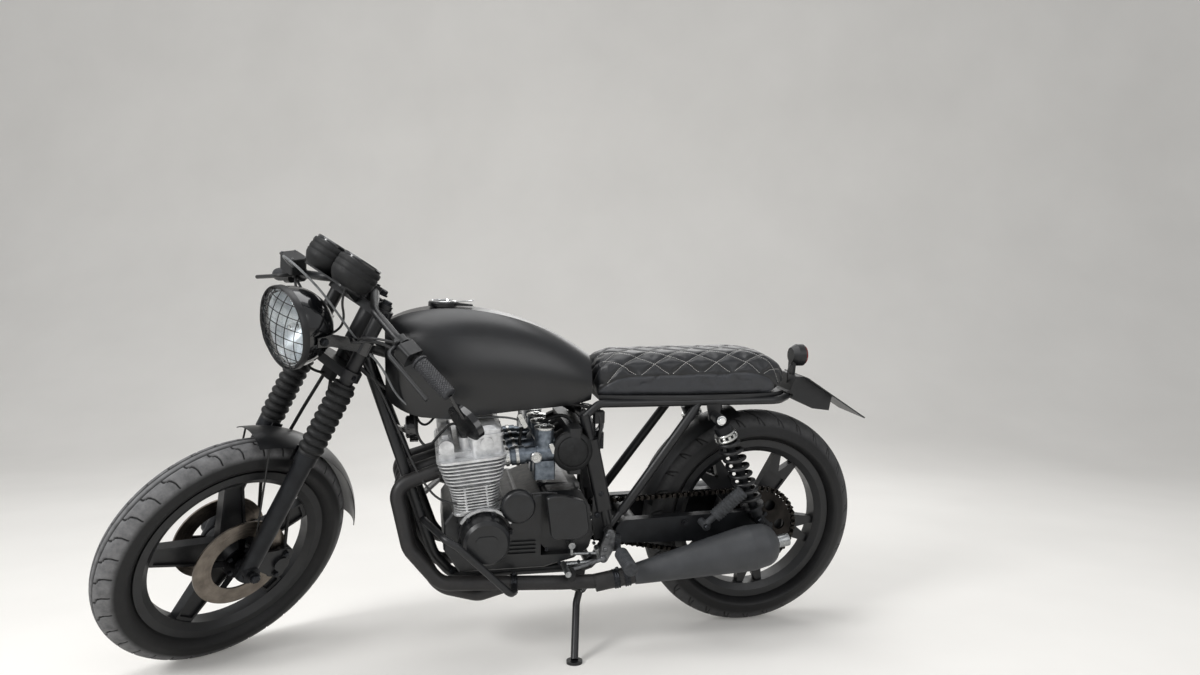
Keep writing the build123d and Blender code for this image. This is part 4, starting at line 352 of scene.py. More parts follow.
FINISHES = (
    (satin_paint, "fuel_tank front_mudguard fuel_cap"),
    (powder_coat, "frame rear_frame rear_wheel front_wheel fork_yokes handlebar headlight_grille "
                  "shock_springs side_stand"),
    (moulded_nylon, "rear_mudguard bar_controls gauges air_box plate_bracket tail_light"),
    (grey_anodised, "swing_arm fork_sliders rear_shocks"),
    (tyre, "front_tyre rear_tyre"),
    (disc_steel, "brake_discs"),
    (sprocket_steel, "rear_sprocket"),
    (oiled_steel, "drive_chain"),
    (engine_enamel, "brake_calipers crankcase engine_covers"),
    (moulded_rubber, "brake_hoses fork_gaiters grips"),
    (gloss_enamel, "bar_end_mirror headlight_shell horn"),
    (lamp_glass, "headlight_lens"),
    (cast_aluminium, "fuel_tap cylinder_block cylinder_head cam_cover"),
    (carburettor_alloy, "carburettors"),
    (header_paint, "exhaust_headers"),
    (silencer_paint, "mufflers"),
    (zinc_plate, "foot_controls"),
    (grey_rubber, "footrests"),
    (vinyl, "seat"),
    (red_lens, "tail_lens"),
)
for finish, names in FINISHES:
    for name in names.split():
        slots = frame["nodes"][name].data.materials
        slots.clear()
        slots.append(finish)


# Making pieces


def added(name, data):
    """A new object of the scene that holds the data."""
    made = bpy.data.objects.new(name, data)
    bpy.context.scene.collection.objects.link(made)
    return made


def mesh_of(bm):
    """A mesh from a bmesh, its normals outward."""
    bmesh.ops.recalc_face_normals(bm, faces=bm.faces)
    mesh = bpy.data.meshes.new("mesh")
    bm.to_mesh(mesh)
    bm.free()
    return mesh


def finished(name, form, material, slot, body="chassis", sharp=35, replaces=()):
    """Turns a form drawn in the upright frame into a piece at its place, riding on a body."""
    mesh = mesh_of(form) if isinstance(form, bmesh.types.BMesh) else form
    mesh.name = name
    mesh.transform(FORK if body in ("steering", "front_wheel") else BIKE)
    mesh.materials.clear()
    mesh.materials.append(material)
    for face in mesh.polygons:
        face.use_smooth = True
        face.material_index = 0
    mesh.set_sharp_from_angle(angle=radians(sharp))
    mesh.update()
    made = added(name, mesh)
    if body:
        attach(made, body)
    if replaces:
        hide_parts(*replaces)
    return made


def facing(at, axis, roll=AHEAD):
    """A matrix that puts z along axis at a place, with x as near to roll as it can be."""
    z = Vector(axis).normalized()
    x = roll - z * roll.dot(z)
    if x.length < 1e-4:
        x = UP - z * z.z
    x.normalize()
    return Matrix.Translation(Vector(at)) @ Matrix((x, z.cross(x), z)).transposed().to_4x4()


def skin(bm, rings, ends=True):
    """Faces between rings of points, leaving out corners that fall together, and over both ends."""
    for low, high in zip(rings, rings[1:]):
        for i in range(len(low)):
            j = (i + 1) % len(low)
            corners = list(dict.fromkeys((low[i], low[j], high[j], high[i])))
            if len(corners) > 2:
                bm.faces.new(corners)
    if ends:
        bm.faces.new(rings[0])
        bm.faces.new(rings[-1])


def turned_shape(bm, place, profile, sides=40, closed=False):
    """Turns a profile of (radius, height) points round the z axis of place. Ends at radius 0 meet."""
    rings = []
    for r, height in profile:
        if r < 1e-6:
            rings.append([bm.verts.new(place @ Vector((0, 0, height)))] * sides)
            continue
        angles = [2 * pi * i / sides for i in range(sides)]
        rings.append([bm.verts.new(place @ Vector((r * cos(a), r * sin(a), height))) for a in angles])
    skin(bm, rings + rings[:1] if closed else rings, ends=False)


def solid_outline(bm, place, outline, depth, bevel=0.0):
    """A plate cut to an outline in the x and y of place, depth thick, its edges rounded off."""
    steps = [(0, 0), (depth, 0)]
    if bevel:
        steps = [(0, bevel), (bevel, 0), (depth - bevel, 0), (depth, bevel)]
    middle = Vector((sum(p[0] for p in outline), sum(p[1] for p in outline), 0)) / len(outline)
    rows = []
    for height, inset in steps:
        row = []
        for x, y in outline:
            out = Vector((x, y, 0)) - middle
            keep = (out.length - inset) / out.length
            row.append(bm.verts.new(place @ (middle + out * keep + Vector((0, 0, height)))))
        rows.append(row)
    skin(bm, rows)


def shaped(name, turned, plates, *rest, **more):
    """A piece of turned shapes and of plates, each given by its values, finished with the rest."""
    bm = bmesh.new()
    for values in turned:
        turned_shape(bm, *values)
    for values in plates:
        solid_outline(bm, *values)
    return finished(name, bm, *rest, **more)


def rounded(width, height, corner, steps=5):
    """The outline of a rectangle with round corners, centred on the origin."""
    outline = []
    for start, sx, sy in ((0, 1, 1), (90, -1, 1), (180, -1, -1), (270, 1, -1)):
        x, y = sx * (width / 2 - corner), sy * (height / 2 - corner)
        for i in range(steps + 1):
            a = radians(start + 90 * i / steps)
            outline.append((x + corner * cos(a), y + corner * sin(a)))
    return outline


def plain_mesh(made):
    """The evaluated mesh of an object, with the object itself removed."""
    graph = bpy.context.evaluated_depsgraph_get()
    graph.update()
    mesh = bpy.data.meshes.new_from_object(made.evaluated_get(graph), depsgraph=graph)
    data = made.data
    bpy.data.objects.remove(made)
    if isinstance(data, bpy.types.Curve):
        bpy.data.curves.remove(data)
    return mesh


def cable(name, points, radius, material, slot, body="chassis", between=None):
    """A round cable through control points, fixed at both ends. One given between, as the cables that
    cross the steering are, rides on no body and has its place baked into its mesh."""
    curve = bpy.data.curves.new("line", "CURVE")
    curve.dimensions = "3D"
    curve.resolution_u, curve.bevel_depth, curve.bevel_resolution = 8, radius, 4
    curve.use_fill_caps = True
    line = curve.splines.new("NURBS")
    line.points.add(len(points) - 1)
    for control, point in zip(line.points, points):
        control.co = (*point, 1)
    line.order_u = 3
    line.use_endpoint_u = True
    mesh = plain_mesh(added("line", curve))
    made = finished(name, mesh, material, slot, None if between else body, 60)
    if between:
        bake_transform(made)


# Repeated pieces are set out by Geometry Nodes, at points or along a path


def node_tree(name, sockets):
    """A node tree with named inputs of (name, kind, usual value) and a finish, and its input node."""
    tree = bpy.data.node_groups.new(name, "GeometryNodeTree")
    for label, kind, usual in (*sockets, ("Finish", "Material", None)):
        made = tree.interface.new_socket(name=label, in_out="INPUT", socket_type="NodeSocket" + kind)
        if usual is not None:
            made.default_value = usual
    tree.interface.new_socket(name="Pieces", in_out="OUTPUT", socket_type="NodeSocketGeometry")
    return tree, put(tree, "NodeGroupInput")


def ended(tree, given, geometry):
    """Ends a node tree with its geometry real and coloured."""
    real = put(tree, "GeometryNodeRealizeInstances", {"Geometry": geometry})
    coloured = put(tree, "GeometryNodeSetMaterial", {"Geometry": real, "Material": (given, "Finish")})
    put(tree, "NodeGroupOutput", {"Pieces": coloured})
    return tree


def setting_tree():
    """Sets a shape at every point of a mesh, its z along the point's axis attribute, its x near the
    roll attribute, and as large as the size attribute says."""
    sockets = ("Points", "Geometry", None), ("Shape", "Object", None), ("Size", "Float", 1.0)
    tree, given = node_tree("set_at_points", sockets)
    axis, roll, size = [
        (put(tree, "GeometryNodeInputNamedAttribute", {"Name": name}, data_type=kind), "Attribute")
        for name, kind in (("axis", "FLOAT_VECTOR"), ("roll", "FLOAT_VECTOR"), ("size", "FLOAT"))
    ]
    upright = put(
        tree, "FunctionNodeAxesToRotation", {"Primary Axis": axis, "Secondary Axis": roll},
        primary_axis="Z", secondary_axis="X",
    )
    shape = put(tree, "GeometryNodeObjectInfo", {"Object": (given, "Shape"), "As Instance": True})
    scale = put(tree, MATH, {0: size, 1: (given, "Size")}, operation="MULTIPLY")
    placed = put(tree, "GeometryNodeInstanceOnPoints", {
        "Points": (given, "Points"), "Instance": (shape, "Geometry"), "Rotation": upright,
        "Scale": scale,
    })
    return ended(tree, given, placed)


point_setting = setting_tree()


def run_nodes(made, tree, values):
    """Runs a node tree on an object with its inputs set, and gives back the plain mesh."""
    modifier = made.modifiers.new("nodes", "NODES")
    modifier.node_group = tree
    for item in tree.interface.items_tree:
        if item.in_out == "INPUT" and item.name in values:
            modifier[item.identifier] = values[item.name]
    return plain_mesh(made)


shapes = []


def hidden_shape(bm):
    """A shape for the node trees to repeat, which is taken away again at the end."""
    shapes.append(added("shape", mesh_of(bm)))
    return shapes[-1]


def set_at_points(name, spots, shape, material, slot, body="chassis", size=1.0):
    """Sets a shape at spots of (place, axis, size) or (place, axis, size, roll), as one piece."""
    cloud = bpy.data.meshes.new("spots")
    cloud.from_pydata([tuple(s[0]) for s in spots], [], [])
    axes = [Vector(s[1]).normalized() for s in spots]
    rolls = [s[3] if len(s) > 3 else (0.31, 0.2, 0.93) for s in spots]
    for label, vectors in (("axis", axes), ("roll", rolls)):
        layer = cloud.attributes.new(label, "FLOAT_VECTOR", "POINT")
        layer.data.foreach_set("vector", [c for v in vectors for c in v])
    cloud.attributes.new("size", "FLOAT", "POINT").data.foreach_set("value", [s[2] for s in spots])
    values = {"Shape": shape, "Size": size, "Finish": material}
    return finished(name, run_nodes(added("spots", cloud), point_setting, values), material, slot, body)


def hex_bolt():
    """A hexagon head of unit half width on a washer, its top chamfered."""
    bm = bmesh.new()
    turned_shape(bm, Matrix(), [(0, -0.1), (1.18, -0.1), (1.18, 0.14), (0, 0.14)], 20)
    turned_shape(bm, Matrix(), [(0, 0.14), (1.0, 0.14), (1.0, 0.66), (0.86, 0.8), (0, 0.8)], 6)
    return hidden_shape(bm)


def socket_screw():
    """A cap screw head of unit radius with its hexagon socket."""
    bm = bmesh.new()
    profile = [(0.5, 0.3), (0.5, 0.95), (0.9, 0.95), (1.0, 0.85), (1.0, -0.1), (0, -0.1)]
    turned_shape(bm, Matrix(), profile, 24)
    turned_shape(bm, Matrix(), [(0.48, 0.96), (0.48, 0.4), (0, 0.4)], 6)
    return hidden_shape(bm)


# Tyres

TYRE_STEPS, WALL_STEPS = 1008, 12
CROWN_TURN = radians(78)
LIP_RADIUS, BEAD_RADIUS = 245.5, 230.5


def soft_step(values, low, high):
    """0 below low and 1 above high, with a smooth rise between them."""
    t = np.clip((values - low) / (high - low), 0, 1)
    return t * t * (3 - 2 * t)


def off_lane(run, pitch):
    """The distance to the nearest of lines that repeat every pitch."""
    return np.abs((run + pitch / 2) % pitch - pitch / 2)


def groove_depth(run, across, pitch, tread):
    """How deep the tread is cut, 0 to 1, at run mm round the tyre and across mm from its middle."""
    depth = np.zeros(np.broadcast(run, across).shape)
    for line in tread["lines"]:
        depth = np.maximum(depth, 1 - soft_step(np.abs(across - line), 1.0, 2.4))
    sides, leads = zip(*tread["shape"])
    for hand in HANDS:
        start = run - (0 if hand > 0 else pitch / 2)
        side = across * hand
        lead = np.interp(side, sides, leads)
        slope = np.gradient(lead, side[0], axis=-1)
        off = off_lane(start - lead, pitch) / np.sqrt(1 + slope ** 2)
        inside = (side > sides[0]) & (side < sides[-1])
        depth = np.maximum(depth, np.where(inside, 1 - soft_step(off, 1.2, 2.8), 0))
        if tread["slit"]:
            low, high, lead_at = tread["slit"]
            off = off_lane(start - lead_at - 0.25 * (side - low), pitch)
            inside = (side > low) & (side < high)
            depth = np.maximum(depth, np.where(inside, 1 - soft_step(off, 0.9, 2.2), 0))
    return depth


def treaded_tyre(node, axle, radius, half, bead_half, body, tread):
    """A tyre moulded as one ring: its crown and shoulders with cut grooves, round side walls with a
    raised rib above the rim, and its beads closed inside."""
    turn_at = np.linspace(0, 2 * pi, TYRE_STEPS, endpoint=False)
    drop = radius - half * 0.98
    # The crown is an ellipse whose arc length is nearly even in bend
    bend = CROWN_TURN * np.linspace(-1, 1, 45)
    crown_y = half * np.sin(bend) / sin(CROWN_TURN)
    crown_r = drop + (radius - drop) * (np.cos(bend) - cos(CROWN_TURN)) / (1 - cos(CROWN_TURN))
    across = np.concatenate([[0], np.cumsum(np.hypot(np.diff(crown_y), np.diff(crown_r)))])
    across -= across[-1] / 2
    down = np.linspace(0, 1, WALL_STEPS + 1)[1:]
    rib = 0.9 * np.exp(-((down - 0.86) / 0.035) ** 2)
    wall_y = half + (bead_half - half) * down ** 2.2 + 3.0 * np.sin(pi * down) + rib
    wall_r = drop + (LIP_RADIUS - drop) * down
    bead = bead_half - 1.0
    profile_y = np.concatenate([-wall_y[::-1], crown_y, wall_y, [bead, -bead]])
    profile_r = np.concatenate([wall_r[::-1], crown_r, wall_r, [BEAD_RADIUS, BEAD_RADIUS]])
    wide = len(profile_y)
    crown = np.zeros(wide)
    middle = slice(WALL_STEPS, WALL_STEPS + len(across))
    edge = tread["half"]
    crown[middle] = tread["wear_and_light"] * (1 - soft_step(np.abs(across), edge * 0.8, edge * 1.25))
    cut = np.zeros((TYRE_STEPS, wide))
    run, pitch = (turn_at * radius)[:, None], 2 * pi * radius / tread["count"]
    cut[:, middle] = groove_depth(run, np.broadcast_to(across, (TYRE_STEPS, len(across))), pitch, tread)
    cut[:, middle] *= 1 - soft_step(np.abs(across), edge, edge * 1.15)
    reach = profile_r - cut * tread["depth"]
    points = np.stack([
        axle.x + reach * np.cos(turn_at)[:, None], axle.y + profile_y * (1 - cut * 0.012),
        axle.z + reach * np.sin(turn_at)[:, None],
    ], axis=-1).reshape(-1, 3)
    here, over = np.arange(wide)[None, :], (np.arange(wide)[None, :] + 1) % wide
    near = np.arange(TYRE_STEPS)[:, None] * wide
    far = (near + wide) % (TYRE_STEPS * wide)
    quads = np.stack([near + here, near + over, far + over, far + here], axis=-1).reshape(-1, 4)
    mesh = bpy.data.meshes.new(node)
    mesh.from_pydata(points.tolist(), [], quads.tolist())
    for label, values in (("crown", np.broadcast_to(crown, cut.shape)), ("groove", cut)):
        layer = mesh.attributes.new(label, "FLOAT", "POINT")
        layer.data.foreach_set("value", np.ascontiguousarray(values, np.float32).reshape(-1))
    finished(node + "_tread", mesh, tyre, node, body, 60, [node])


# half is the tread's width each way, count the grooves on each side, shape a groove's path in (across,
# lead) points, lines the grooves that run round, and slit a short cut between two grooves
# The crown's grey share is wear and road dust and partly painted light: full on the front tyre, a third
# on the rear
treaded_tyre("front_tyre", front_axle, FRONT_RADIUS, 45.5, 26.5, "front_wheel", {
    "half": 52, "count": 36, "depth": 3.0, "lines": (-7.5, 7.5), "slit": None, "wear_and_light": 1.0,
    "shape": [(10, 0), (17, 3), (22, 15), (31, 20), (50, 22)],
})
treaded_tyre("rear_tyre", rear_axle, REAR_RADIUS, 58.5, 32.5, "rear_wheel", {
    "half": 66, "count": 30, "depth": 3.4, "lines": (0,), "slit": (40, 60, 30), "wear_and_light": 0.34,
    "shape": [(6, 0), (24, 16), (44, 40), (64, 52)],
})


# Seat

SEAT_SEAM = 166.0
DIAMOND_LONG, DIAMOND_WIDE, DIAMOND_START = 88.0, 83.0, 30.0


def seat_top_at(x):
    """Height of the seat's crown over the ground at x."""
    return np.interp(x, [-70, -40, 0, 60, 300, 440, 490], [778, 806, 826, 833, 829, 826, 812])


def seat_half_at(x):
    """Half width of the seat at x."""
    stations, halves = [-72, -62, -40, 0, 60, 250, 420, 500], [36, 62, 86, 103, 112, 119, 108, 93]
    return float(np.interp(x, stations, halves))


def seat_form():
    """The foam before it swells: cross sections along x, each a rounded box with a crowned top."""
    bm = bmesh.new()
    rows = []
    runs = (-70, -30, 7), (-10, 470, 40), (476, 494, 4)
    for x in np.concatenate([np.linspace(*run) for run in runs]):
        top, half = float(seat_top_at(x)) - 3, seat_half_at(x) - 3
        base = 712 + max(0.0, (-10 - x)) * 0.55
        front = max(0.0, x - 470) * 0.4
        row = []
        for a in np.linspace(0, 2 * pi, 56, endpoint=False):
            c, s = [np.sign(v) * abs(v) ** 0.34 for v in (cos(a), sin(a))]
            y = (half - front) * c
            high = (top + base) / 2 + (top - base) / 2 * s
            if s > 0:
                high += 5 * (1 - (y / half) ** 2) - 5
            row.append(bm.verts.new((x, y, high)))
        rows.append(row)
    skin(bm, rows)
    mesh = mesh_of(bm)
    mesh.transform(Matrix.Scale(0.001, 4))
    return added("seat_form", mesh)


def evaluated(made):
    """The object's mesh with its modifiers applied, and the modifiers removed."""
    graph = bpy.context.evaluated_depsgraph_get()
    graph.update()
    mesh = bpy.data.meshes.new_from_object(made.evaluated_get(graph), depsgraph=graph)
    made.modifiers.clear()
    return mesh


def keep_modified(made, kind, **settings):
    """Adds a modifier with its settings and applies it at once."""
    modifier = made.modifiers.new(kind, kind)
    for name, value in settings.items():
        setattr(modifier, name, value)
    made.data = evaluated(made)


def swell(made, cap, pressure=4.0):
    """Blows the form up as cloth under pressure, and caps how far a point may move."""
    before = np.empty(len(made.data.vertices) * 3)
    made.data.vertices.foreach_get("co", before)
    cloth = made.modifiers.new("cloth", "CLOTH")
    cloth.settings.use_pressure = True
    cloth.settings.uniform_pressure_force = pressure
    cloth.settings.effector_weights.gravity = 0
    cloth.settings.quality = 5
    cloth.point_cache.frame_start, cloth.point_cache.frame_end = 1, 20
    for number in range(1, 21):
        bpy.context.scene.frame_set(number)
    done = evaluated(made)
    bpy.context.scene.frame_set(1)
    after = np.empty_like(before)
    done.vertices.foreach_get("co", after)
    move = (after - before).reshape(-1, 3)
    move *= np.minimum(1, cap / np.maximum(np.linalg.norm(move, axis=1, keepdims=True), 1e-9))
    done.vertices.foreach_set("co", (before.reshape(-1, 3) + move).reshape(-1))
    made.data = done


def ridge(distance, width):
    """1 on a line, falling off to nothing over its width."""
    return np.exp(-(distance / width) ** 2)


def quilted_seat():
    """The seat pad: swollen foam under vinyl, a diamond-stitched top over a plain band, with a seam
    between them and a short slanted seam at the tail."""
    made = seat_form()
    keep_modified(made, "REMESH", mode="VOXEL", voxel_size=0.005)
    swell(made, 0.007)
    keep_modified(made, "SUBSURF", levels=1, render_levels=1)
    mesh = made.data
    bpy.data.objects.remove(made)
    mesh.transform(Matrix.Scale(1000, 4))
    co, normal = np.empty((2, len(mesh.vertices) * 3))
    mesh.vertices.foreach_get("co", co)
    mesh.vertices.foreach_get("normal", normal)
    co, normal = co.reshape(-1, 3), normal.reshape(-1, 3)
    co[:, 2] = np.maximum(co[:, 2], 709.6)
    x, y, z = co[:, 0], co[:, 1], co[:, 2]
    # How far a point lies from the middle line, over the top and down the side
    from_middle = np.abs(y) + np.maximum(0, seat_top_at(x) + 3 - z)
    signed = from_middle * np.sign(y)
    slope = sqrt((1 / DIAMOND_LONG) ** 2 + (1 / DIAMOND_WIDE) ** 2)
    to_line = np.full(len(co), 99.0)
    for hand in HANDS:
        phase = (x - DIAMOND_START) / DIAMOND_LONG + hand * signed / DIAMOND_WIDE
        to_line = np.minimum(to_line, np.abs(phase - np.round(phase)) / slope)
    on_top = (from_middle < SEAT_SEAM) & (z > 745)
    to_seam = np.abs(from_middle - SEAT_SEAM)
    to_tail = np.abs((x + 26) * 0.94 - (z - 745) * 0.34)
    below = (from_middle > SEAT_SEAM) & (z > 716)
    crease = 4.2 * ridge(to_line, 6.5) * on_top * soft_step(SEAT_SEAM - from_middle, 0, 14)
    crease += 3.2 * ridge(to_seam, 4.0) * (z > 730)
    crease += 2.2 * ridge(to_tail, 3.0) * below
    # Painted shade in the creases: near black along the diamonds' lines, the side seam and the tail seam
    seam_shade = np.maximum(ridge(to_line, 2.2) * on_top, ridge(to_seam, 2.0))
    seam_shade = np.maximum(seam_shade, ridge(to_tail, 1.8) * below)
    co -= normal * crease[:, None]
    mesh.vertices.foreach_set("co", co.reshape(-1))
    for label, values in (("seam_shade", seam_shade), ("band", from_middle > SEAT_SEAM)):
        layer = mesh.attributes.new(label, "FLOAT", "POINT")
        layer.data.foreach_set("value", values.astype(np.float32))
    mesh.update()
    return mesh


def stitch():
    """One lock stitch of thick thread, lying along z and sunk at its ends."""
    bm = bmesh.new()
    profile = [(0, 0), (0.45, 0.3), (0.72, 1.2), (0.78, 2.6), (0.72, 4.0), (0.45, 4.9), (0, 5.2)]
    turned_shape(bm, Matrix.Translation((0.5, 0, -2.6)), profile, 8)
    return hidden_shape(bm)


def on_seat(tree, x, w):
    """The seat's surface and normal at x and at w over the top from its middle line."""
    low, high = 0.0, radians(150)
    hand = 1 if w >= 0 else -1
    top = float(seat_top_at(x)) + 3
    centre = Vector((x, 0, 765))
    for _ in range(16):
        middle = (low + high) / 2
        out = Vector((0, hand * sin(middle), cos(middle)))
        spot, normal = tree.ray_cast(centre + out * 300, -out)[:2]
        if spot is None:
            return None
        if abs(spot.y) + max(0, top - spot.z) < abs(w):
            low = middle
        else:
            high = middle
    return spot, normal


def stitch_lines(tree):
    """Runs of points along the diamonds, on the seat's surface."""
    runs = []
    for hand in HANDS:
        for k in range(-3, 9):
            runs.append([])
            for w in np.linspace(-SEAT_SEAM + 4, SEAT_SEAM - 4, 74):
                x = DIAMOND_START + DIAMOND_LONG * (k + hand * w / DIAMOND_WIDE)
                spot = on_seat(tree, x, w) if -40 < x < 478 else None
                if spot:
                    runs[-1].append(spot)
                else:
                    runs.append([])
    return [run for run in runs if len(run) > 3]


seat_mesh = quilted_seat()
seat_bm = bmesh.new()
seat_bm.from_mesh(seat_mesh)
seat_tree = BVHTree.FromBMesh(seat_bm)
seat_bm.free()
seat_spots = []
for run in stitch_lines(seat_tree):
    lengths = np.concatenate([[0], np.cumsum([(b[0] - a[0]).length for a, b in zip(run, run[1:])])])
    for at in np.arange(4, lengths[-1] - 3, 5.4):
        i = int(np.searchsorted(lengths, at)) - 1
        part = (at - lengths[i]) / (lengths[i + 1] - lengths[i])
        (spot, normal), (onward, _) = run[i], run[i + 1]
        seat_spots.append((spot.lerp(onward, part) + normal * 0.1, onward - spot, 1.0, normal))
set_at_points("seat_stitches", seat_spots, stitch(), thread, "seat", size=0.72)
pad = finished("seat_pad", seat_mesh, vinyl, "seat", sharp=80, replaces=["seat"])


# Fork: bellows and bar grips

LEG_Y, FOLDS, BELLOWS_HEIGHT = 95, 9, 199
bellows_profile = [(18, 0), (27, 0), (27, 7)]
for i in range(FOLDS * 9):
    rise = abs(sin(pi * (i % 9) / 9)) ** 0.8
    bellows_profile.append((25.5 + 6.5 * rise, 8 + i / 9 * (BELLOWS_HEIGHT - 16) / FOLDS))
bellows_profile += [(25.5, BELLOWS_HEIGHT - 8), (27, BELLOWS_HEIGHT - 7)]
bellows_profile += [(27, BELLOWS_HEIGHT), (18, BELLOWS_HEIGHT)]
shaped(
    "fork_bellows",
    [(facing(fork_at(335.3, y), steering_axis), bellows_profile, 48, True) for y in (LEG_Y, -LEG_Y)], [],
    moulded_rubber, "fork_gaiters", "steering", 60, ["fork_gaiters"],
)

bar_end = Vector((1122, 388, 892))
bar_way = (bar_end - Vector((1150, 205, 966))).normalized()


def bar_at(from_end, hand=1, drop=0.0, ahead=0.0):
    """A point on the bar's outer run, from_end inwards from its tip on the left or right."""
    point = bar_end - bar_way * from_end
    return Vector((point.x + ahead, hand * point.y, point.z - drop))


def inward(hand):
    """The way from the bar's tip towards the middle."""
    return Vector((-bar_way.x, -hand * bar_way.y, -bar_way.z))


def knurled_grip(bm, hand):
    """A grip moulded with small diamonds between plain cuffs, with a flange at its inner end."""
    place = facing(bar_at(-4, hand), inward(hand))
    rows, around, length = 104, 72, 116
    rings = []
    for j in range(rows + 1):
        height = length * j / rows
        fade = min(1.0, max(0.0, (height - 8) / 3), max(0.0, (104 - height) / 3))
        ring = []
        for i in range(around):
            a = 2 * pi * i / around
            off = min(abs((height / 7 + way * i / around) % 1 - 0.5) for way in (12, -12))
            r = 16.4 + 1.9 * fade * min(1.0, 3.2 * off) + 0.7 * (1 - fade)
            r -= 3.0 * max(0.0, 1 - height / 3) ** 2
            ring.append(bm.verts.new(place @ Vector((r * cos(a), r * sin(a), height))))
        rings.append(ring)
    skin(bm, rings)
    flange = [(15.2, 107.5), (20, 108), (21, 109.5), (21, 111.5), (20, 113), (15.2, 113.5)]
    turned_shape(bm, place, flange, 48, closed=True)


grip_form = bmesh.new()
for hand in HANDS:
    knurled_grip(grip_form, hand)
finished("bar_grips", grip_form, grip_rubber, "grips", "steering", 50, ["grips"])


# Springs wound from round wire, by Geometry Nodes


def coil_tree():
    """A spring of round wire standing along z, its turns, height, radius and wire set by name."""
    usual = (("Turns", 9.0), ("Height", 100.0), ("Radius", 24.0), ("Wire", 4.0))
    tree, given = node_tree("wound_spring", [(name, "Float", value) for name, value in usual])
    turns = put(tree, "GeometryNodeCurveSpiral", {
        "Resolution": 40, "Rotations": (given, "Turns"), "Start Radius": (given, "Radius"),
        "End Radius": (given, "Radius"), "Height": (given, "Height"),
    })
    round_wire = {"Resolution": 12, "Radius": (given, "Wire")}
    section = put(tree, "GeometryNodeCurvePrimitiveCircle", round_wire)
    swept = {"Curve": turns, "Profile Curve": section, "Fill Caps": True}
    return ended(tree, given, put(tree, "GeometryNodeCurveToMesh", swept))


coil_winding = coil_tree()


def wound_springs(name, places, sizes, material, slot=None, replaces=()):
    """Springs of one size, one at each place, as one piece, by their turns, height, radius and wire."""
    values = dict(zip(("Turns", "Height", "Radius", "Wire"), sizes), Finish=material)
    one = run_nodes(added("coil", bpy.data.meshes.new("coil")), coil_winding, values)
    bm = bmesh.new()
    for place in places:
        copy = one.copy()
        copy.transform(place)
        bm.from_mesh(copy)
    finished(name, bm, material, slot, sharp=60, replaces=replaces)


SHOCK_LOW, SHOCK_HIGH = Vector((29, 0, 368)), Vector((162, 0, 658))
shock_run = SHOCK_HIGH - SHOCK_LOW
shock_way = shock_run.normalized()


def shock_at(height, y):
    """The frame of a shock at a height along it, on the left or right."""
    return facing(SHOCK_LOW + shock_way * height + Vector((0, y, 0)), shock_way)


SHOCK_YS = (142, -142)
COIL_START, COIL_END, COIL_WIRE = 46.3, 62, 5.6
wound_springs(
    "shock_coils", [shock_at(COIL_START + COIL_WIRE, y) for y in SHOCK_YS],
    (8.0, shock_run.length - COIL_END - COIL_START - 0.3 - 2 * COIL_WIRE, 27.4, COIL_WIRE), powder_coat,
    "shock_springs", ["shock_springs"],
)
stand_place = facing((540, 148, 190), (-85, -6, 40))
wound_springs("stand_spring", [stand_place], (15.0, 84.0, 5.0, 1.1), zinc_plate)


# Final drive: a roller chain of inner and outer links round both sprockets

CHAIN_Y, LINKS = 79, 102
WHEEL_MIDDLE, WHEEL_PITCH_RADIUS = Vector((0, 0, 325)), 109.5
OUTPUT_MIDDLE, OUTPUT_PITCH_RADIUS = Vector((566, 0, 372)), 43.5


def chain_loop():
    """Places and ways along the chain's loop, one for each link, and the distance between links."""
    a, ra, b, rb = WHEEL_MIDDLE, WHEEL_PITCH_RADIUS, OUTPUT_MIDDLE, OUTPUT_PITCH_RADIUS
    between = b - a
    slope, lift = atan2(between.z, between.x), acos((ra - rb) / between.length)
    top, low = slope + lift, slope - lift

    def out(angle):
        return Vector((cos(angle), 0, sin(angle)))

    # Four runs: over the top, round the output, back below, round the wheel
    straight = (b + out(top) * rb - a - out(top) * ra).length
    runs = [straight, rb * 2 * lift, straight, ra * (2 * pi - 2 * lift)]
    step = sum(runs) / LINKS
    spots = []
    for i in range(LINKS):
        at, run = i * step, 0
        while run < 3 and at >= runs[run]:
            at -= runs[run]
            run += 1
        if run in (0, 2):
            angle, hand = (top, 1) if run == 0 else (low, -1)
            near, far = a + out(angle) * ra, b + out(angle) * rb
            way = ((far - near) * hand).normalized()
            spots.append(((near if run == 0 else far) + way * at, way))
        else:
            middle, r, start = (b, rb, top) if run == 1 else (a, ra, low)
            angle = start - at / r
            spots.append((middle + out(angle) * r, out(angle - pi / 2)))
    return spots, step


def chain_link(pitch, plates, thick, roller):
    """One link along z: two waisted plates at plates from the middle, with rollers or pin heads."""
    bm = bmesh.new()
    outline = []
    for centre, start in ((pitch, -90), (0, 90)):
        for step in range(9):
            a = radians(start + 180 * step / 8)
            outline.append((6.6 * sin(a), centre + 6.6 * cos(a)))
        outline.append((-4.9 if centre else 4.9, pitch / 2))
    for hand in HANDS:
        solid_outline(bm, facing((hand * plates - thick / 2, 0, 0), AHEAD, LEFT), outline, thick, 0.4)
    r, reach = (4.9, plates) if roller else (2.4, plates + 1.4)
    for z in (0, pitch):
        profile = [(0, 0), (r, 0), (r, 2 * reach), (0, 2 * reach)]
        turned_shape(bm, facing((-reach, 0, z), AHEAD), profile, 14)
    return hidden_shape(bm)


chain_spots, link_pitch = chain_loop()
for label, first, plates, roller in (("inner", 0, 4.6, True), ("outer", 1, 6.6, False)):
    spots = [(place + LEFT * CHAIN_Y, way, 1.0, LEFT) for place, way in chain_spots[first::2]]
    link = chain_link(link_pitch, plates, 1.6, roller)
    set_at_points(f"chain_{label}_links", spots, link, oiled_steel, "drive_chain")
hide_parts("drive_chain")


# Lamp and instruments

